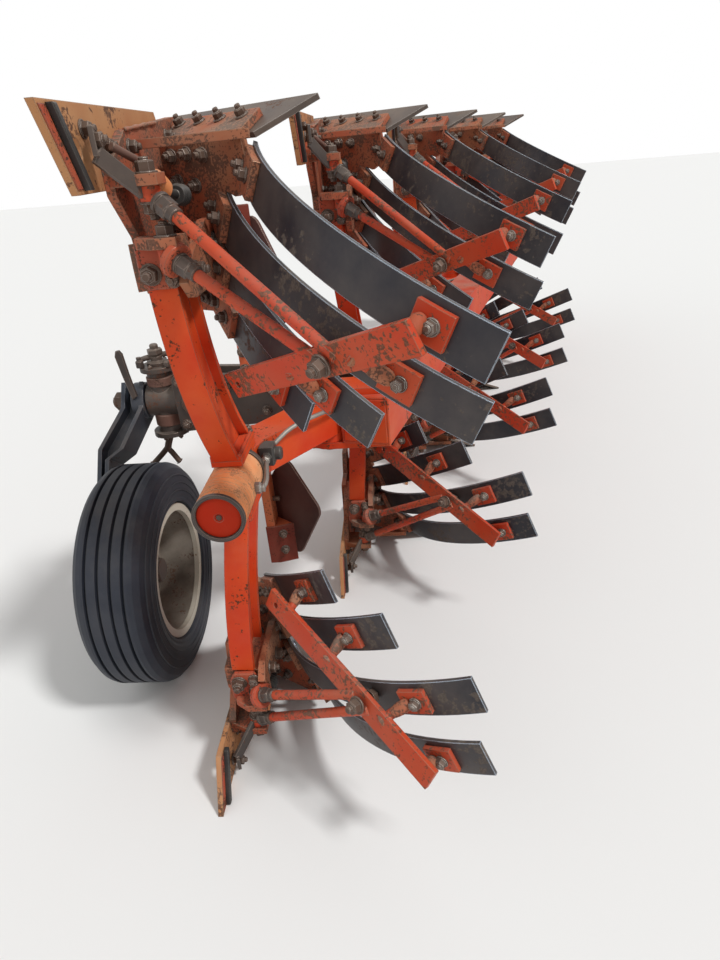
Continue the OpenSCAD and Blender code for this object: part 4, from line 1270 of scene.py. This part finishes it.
@dataclass
class WheelCarrier:
    """Nuts and lever on the swing arm, and the post's spindle, handle and plate bolts on the bracket."""

    swing: Point = (-404, 986, 825)
    axle: Point = (-480, 641, 355)
    lever_y: float = 930.0
    # x from the swing axle, and height above the floor.
    lever: Outline = (
        (48, 850), (66, 862), (56, 940), (50, 1008), (42, 1020), (30, 1018), (24, 1000), (34, 930),
    )
    post: tuple[float, float] = (-270, 986)
    cap_h: float = 948.0
    cap: Profile = ((34, -1), (34, 12), (20, 16), (20, 30), (14, 34), (14, 66), (11, 70))
    cap_nut_h: float = 984.0
    cap_nut: Profile = ((24, 0), (26, 2), (26, 16), (23, 18))
    cross_bar: Route = ((-52, -26, 972), (-20, -12, 978), (20, 10, 980), (56, 24, 976))
    # Place, profile and corners around.
    plungers: tuple[tuple, ...] = (
        ((-48, -30, 950), ((13, 0), (13, 20), (8, 24), (8, 34)), 14),
        ((44, -34, 950), ((12, 0), (12, 14), (8, 18)), 6),
    )
    # Route, radius, corners around and how often the route is rounded.
    handle: tuple[tuple, ...] = (
        (((-4, -6, 704), (-20, -10, 664), (-27, -12, 642)), 12, 14, 0),
        (((-27, -12, 648), (-44, -14, 630), (-88, -16, 590)), 10, 12, 1),
        (((-27, -12, 648), (-12, -14, 628), (6, -16, 596)), 10, 12, 1),
    )
    handle_ends: Route = ((-89, -16, 589), (7, -16, 595))
    flange_bolts_at: float = 50.0
    # Height, and the way the bolts look.
    flanges: tuple[tuple, ...] = ((702, DOWN), (948, UP))
    plate_rear: float = 928.0
    # x, and distance above and below the plate's middle.
    plate_bolts: Spots = ((-190, 74), (-120, 66), (-30, 52), (90, 40), (240, 34), (390, 32))
    ring_x: float = -150.0
    plate_ring: Profile = ((30, -1), (30, 5), (33, 7), (42, 7), (45, 5), (45, -1))
    # Height of the foot, radius and length.
    sleeves: tuple[Point, ...] = ((738, 46, 44), (880, 47, 34))
    sleeve_seat: float = 42.6

    def build(self) -> None:
        """Builds the arm's and the bracket's added parts."""
        nuts, lever = Shape(), Shape()
        nuts.nut(self.swing, LEFT, across=56, stud=8)
        nuts.nut(self.axle, LEFT, across=44, stud=0)
        foot = Matrix.Translation((self.swing[0], self.lever_y, 0))
        lever.plate(foot @ Matrix.Rotation(math.radians(90), 4, "X"), self.lever, 12, 2)
        nuts.make("wheel_arm_nuts", BOLT_RUST, REAR_PLACE, "wheel_arm")
        lever.make("wheel_arm_lever", DARK, REAR_PLACE, "wheel_arm")
        self.build_post()
        self.build_bolts()
        self.build_sleeves()

    def by_post(self, at: Point) -> Point:
        """Point given from the post's middle line, with its height above the floor."""
        return (self.post[0] + at[0], self.post[1] + at[1], at[2])

    def build_post(self) -> None:
        """Builds the spindle and the forked handle of the post."""
        metal, fork = Shape(), Shape()
        metal.spin(facing(self.by_post((0, 0, self.cap_h)), UP), self.cap, 24)
        metal.spin(facing(self.by_post((0, 0, self.cap_nut_h)), UP), self.cap_nut, 6)
        metal.tube([self.by_post(point) for point in self.cross_bar], 9, round_run=1)
        for at, profile, steps in self.plungers:
            metal.spin(facing(self.by_post(at), UP), profile, steps)
        for points, radius, steps, round_run in self.handle:
            fork.tube([self.by_post(point) for point in points], radius, steps, round_run=round_run)
        for at, side in zip(self.handle_ends, (-1, 1)):
            fork.dome(self.by_post(at), (side * 0.6, 0, -0.8), 13)
        metal.make("post_spindle", DARK, REAR_PLACE)
        fork.make("post_handle", BOLT_RUST, REAR_PLACE)

    def build_bolts(self) -> None:
        """Builds the bolts of the post's flanges and of the bracket's plate, and the plate's ring."""
        bolts = Shape()
        for z, look in self.flanges:
            for turn in range(20, 380, 60):
                a = math.radians(turn)
                at = (self.flange_bolts_at * math.cos(a), self.flange_bolts_at * math.sin(a), z)
                bolts.nut(self.by_post(at), look, across=14, stud=4, washer=False)
        for x, drop in self.plate_bolts:
            for side in (-1, 1):
                bolts.nut((x, self.plate_rear, self.swing[2] + side * drop), BACK, across=24, stud=9)
        bolts.hoop((self.ring_x, self.plate_rear, self.swing[2]), BACK, self.plate_ring, 36)
        bolts.make("bracket_bolts", BOLT_RUST, REAR_PLACE)

    def build_sleeves(self) -> None:
        """Builds the two sleeves around the post."""
        sleeves, seat = Shape(), self.sleeve_seat
        for z, radius, length in self.sleeves:
            profile = [(seat, 0), (radius, 3), (radius, length - 4), (seat, length)]
            sleeves.spin(facing(self.by_post((0, 0, z)), UP), profile, 40)
        sleeves.make("post_sleeves", POST_BROWN, REAR_PLACE)


@dataclass
class HeadstockFixings:
    """Pins, bolts and fittings of the headstock, the front frame and the stand."""

    middle: float = 690.0
    rear_y: float = 4722.0
    length: float = 330.0
    beam_h: float = 825.0
    half_w: float = 122.5
    housing_bolts: int = 8
    housing_bolts_at: float = 70.0
    mast_bolts: Spots = ((4760, 900), (4760, 740), (4990, 870), (4990, 740), (4900, 640), (4980, 1130))
    stay_bolts: tuple[Point, ...] = ((44, 4700, 1020), (44, 4700, 1130))
    stay_look: Point = (0.8, -0.5, 0)
    pin_y: float = 5012.0
    pin_h: float = 565.0
    pin_off: float = 482.5
    linch_off: float = 104.0
    linch_ring: Profile = ((18, -3), (18, 3), (23, 3), (23, -3))
    pin_collar: Profile = ((18.4, -2), (18.4, 9), (33, 9), (33, -2))
    axle_nut: Profile = ((66, 0), (70, 3), (70, 14), (60, 18), (52, 20), (52, 34), (46, 38))
    crank_bolt: tuple[float, float] = (-150, 4664)
    arm_y: tuple[float, float] = (4512, 4632)
    arm_bolts: tuple[float, ...] = (760, 850)
    arm_bolt_off: float = 44.0
    arm_weld_h: tuple[float, float] = (757, 893)
    beam_start: tuple[float, float] = (322, 330)
    beam_side: float = 81.0
    stand_pin_at: Point = (950, 4436, 880)
    stand_pin_bar: Route = ((916, 4398, 880), (984, 4398, 880))
    stand_pin: Profile = ((15, -2), (15, 24), (9, 28), (9, 46))

    def build(self) -> None:
        """Builds the headstock's and the frame's added parts."""
        bolts, pins = Shape(), Shape()
        for i in range(self.housing_bolts):
            a = math.radians(22.5 + 360 / self.housing_bolts * i)
            off_x, off_z = self.housing_bolts_at * math.cos(a), self.housing_bolts_at * math.sin(a)
            at = (self.middle + off_x, self.rear_y, self.beam_h + off_z)
            bolts.nut(at, BACK, across=16, stud=4, washer=False)
        for side in (-1, 1):
            for y, z in self.mast_bolts:
                bolts.nut((self.middle + side * self.half_w, y, z), (side, 0, 0), across=26, stud=9)
            self.add_linch_pin(pins, side)
        for x, y, z in self.stay_bolts:
            bolts.nut((self.middle + x, y, z), self.stay_look, across=22, stud=12)
        bolts.make("headstock_bolts", BOLT_RUST, REAR_PLACE, "headstock")
        pins.make("link_linch_pins", ZINC, REAR_PLACE, "headstock")
        self.build_frame_side()

    def add_linch_pin(self, pins: Shape, side: int) -> None:
        """Adds the linch pin, its ring and the collar of one lower link pin.

        Args:
            pins: shape that takes them.
            side: -1 for the left pin, 1 for the right one.
        """
        end = self.middle + side * (self.pin_off + self.linch_off)
        pins.tube([(end, self.pin_y, self.pin_h - 34), (end, self.pin_y, self.pin_h + 30)], 5, 10)
        pins.hoop((end, self.pin_y, self.pin_h + 34), RIGHT, self.linch_ring, 28)
        inner = self.middle + side * (self.pin_off + 3)
        pins.hoop((inner, self.pin_y, self.pin_h), (side, 0, 0), self.pin_collar, 36)

    def build_frame_side(self) -> None:
        """Builds the front frame's and the stand's added parts."""
        bolts, pins, welds = Shape(), Shape(), Shape()
        end = (self.middle, self.rear_y + self.length + 15, self.beam_h)
        bolts.spin(facing(end, AHEAD), self.axle_nut, 32)
        x, y = self.crank_bolt
        bolts.nut((self.middle + x, y, self.beam_h), AHEAD, across=34, stud=6)
        for x in self.arm_bolts:
            for off in (self.arm_bolt_off, -self.arm_bolt_off):
                bolts.nut((x, self.arm_y[0], self.beam_h + off), BACK, across=26, stud=9)
        for y in self.arm_y:
            middle_x = self.beam_start[0] + (y - self.beam_start[1]) * LAYOUT.furrow_w / LAYOUT.pair_pitch
            welds.weld([(middle_x - self.beam_side, y, z) for z in self.arm_weld_h], 6)
        pins.spin(facing(self.stand_pin_at, BACK), self.stand_pin, 18)
        pins.tube(self.stand_pin_bar, 7)
        bolts.make("front_frame_bolts", BOLT_RUST, REAR_PLACE)
        welds.make("front_frame_welds", RED, REAR_PLACE)
        pins.make("stand_pin", ZINC, REAR_PLACE)


@dataclass
class BeamFixings:
    """Weld beads and end plates of the main beam."""

    # Middle of the end's face, and its tilt in degrees.
    ends: tuple[tuple[Point, float], ...] = (((428.8, 690, 825), 90.0), ((1609.7, 4670, 825), -90.0))
    yaw: float = math.degrees(math.atan2(LAYOUT.furrow_w, LAYOUT.pair_pitch))
    plate: Point = (138, 138, 9)
    sunk: float = 0.5
    corners: Outline = ((-72, -72), (72, -72), (72, 72), (-72, 72), (-72, -72))

    def build(self) -> None:
        """Builds both end plates with their welds."""
        plates, welds = Shape(), Shape()
        for middle, tilt in self.ends:
            where = (Matrix.Translation(middle) @ Matrix.Rotation(math.radians(-self.yaw), 4, "Z")
                     @ Matrix.Rotation(math.radians(tilt), 4, "X"))
            plates.block(where @ Matrix.Translation((0, 0, -self.sunk)), self.plate, 2.5)
            welds.weld([where @ Vector((x, y, 2)) for x, y in self.corners], 5)
        plates.make("beam_end_plates", RED, REAR_PLACE)
        welds.make("beam_end_welds", RED, REAR_PLACE)


@dataclass
class Studio:
    """Floor, light and camera."""

    floor_side: float = 60.0
    floor_grey: float = 0.80
    floor_tint: float = 0.985
    sky_fill: float = 0.52
    # Name, strength, angle and turn in degrees.
    lamps: tuple[tuple, ...] = (("sun", 2.1, 8.0, (38, 0, 62)), ("fill", 0.35, 60.0, (60, 0, -50)))
    lens: float = 24.3
    camera_place: Point = (-0.117, -3.557, 1.552)
    camera_yaw: float = -4.34
    camera_pitch: float = 27.33
    camera_roll: float = -4.83

    def build(self) -> None:
        """Builds the whole studio."""
        self.build_floor()
        self.build_world()
        self.build_lamps()
        self.build_camera()

    def build_floor(self) -> None:
        """Builds the plain pale floor."""
        mesh = bpy.data.meshes.new("floor")
        half = self.floor_side / 2
        corners = [(-half, -half, 0), (half, -half, 0), (half, half, 0), (-half, half, 0)]
        mesh.from_pydata(corners, [], [(0, 1, 2, 3)])
        floor = bpy.data.objects.new("floor", mesh)
        bpy.context.scene.collection.objects.link(floor)
        material = bpy.data.materials.new("floor")
        material.use_nodes = True
        shader = material.node_tree.nodes["Principled BSDF"]
        grey = self.floor_grey
        shader.inputs["Base Color"].default_value = (grey, grey, grey * self.floor_tint, 1)
        shader.inputs["Roughness"].default_value = 0.9
        mesh.materials.append(material)

    def build_world(self) -> None:
        """Builds the soft white light, with a white background for the camera and reflections."""
        world = bpy.data.worlds.new("studio")
        world.use_nodes = True
        bpy.context.scene.world = world
        nodes = Nodes(world.node_tree)
        background = world.node_tree.nodes["Background"]
        background.inputs["Color"].default_value = (1, 1, 1, 1)
        path = nodes.add("ShaderNodeLightPath")
        seen = nodes.sums("MAXIMUM", path.outputs["Is Camera Ray"], path.outputs["Is Glossy Ray"])
        seen = nodes.sums("MAXIMUM", seen, path.outputs["Is Transmission Ray"])
        strength = nodes.add("ShaderNodeMapRange")
        nodes.put(strength.inputs["Value"], seen)
        nodes.put(strength.inputs["To Min"], self.sky_fill)
        nodes.put(background.inputs["Strength"], strength.outputs["Result"])

    def build_lamps(self) -> None:
        """Builds a soft sun and a low fill."""
        for name, energy, angle, turn in self.lamps:
            lamp = bpy.data.lights.new(name, "SUN")
            lamp.energy = energy
            lamp.angle = math.radians(angle)
            holder = bpy.data.objects.new(name, lamp)
            holder.rotation_euler = [math.radians(part) for part in turn]
            bpy.context.scene.collection.objects.link(holder)

    def build_camera(self) -> None:
        """Builds the camera at the photograph's place and angle."""
        turns = (self.camera_yaw, self.camera_pitch, self.camera_roll)
        yaw, pitch, roll = (math.radians(part) for part in turns)
        ahead = Vector((math.sin(yaw) * math.cos(pitch), math.cos(yaw) * math.cos(pitch), -math.sin(pitch)))
        level = Vector((math.cos(yaw), -math.sin(yaw), 0))
        raised = level.cross(ahead)
        right = level * math.cos(roll) + raised * math.sin(roll)
        up = right.cross(ahead)
        data = bpy.data.cameras.new("camera")
        data.lens = self.lens
        data.clip_start = 0.05
        data.clip_end = 200
        camera = bpy.data.objects.new("camera", data)
        turn = Matrix((right, up, -ahead)).transposed().to_4x4()
        camera.matrix_world = Matrix.Translation(self.camera_place) @ turn
        bpy.context.scene.collection.objects.link(camera)
        bpy.context.scene.camera = camera
        bpy.context.scene.view_settings.view_transform = "Standard"


def main() -> None:
    """Builds the studio, the finishes and the added pieces in order."""
    logging.basicConfig(level=logging.INFO, format="%(message)s")
    Studio().build()
    Effects.build()
    CadDresser().dress()
    for assembly in (SlatFixings, StayFixings, FrogFixings, LandsideFixings, ShareFixings, LegFixings,
                     ReleaseCylinder, SkimmerFixings, DepthWheel, WheelCarrier, HeadstockFixings,
                     BeamFixings):
        assembly().build()


if __name__ == "__main__":
    main()
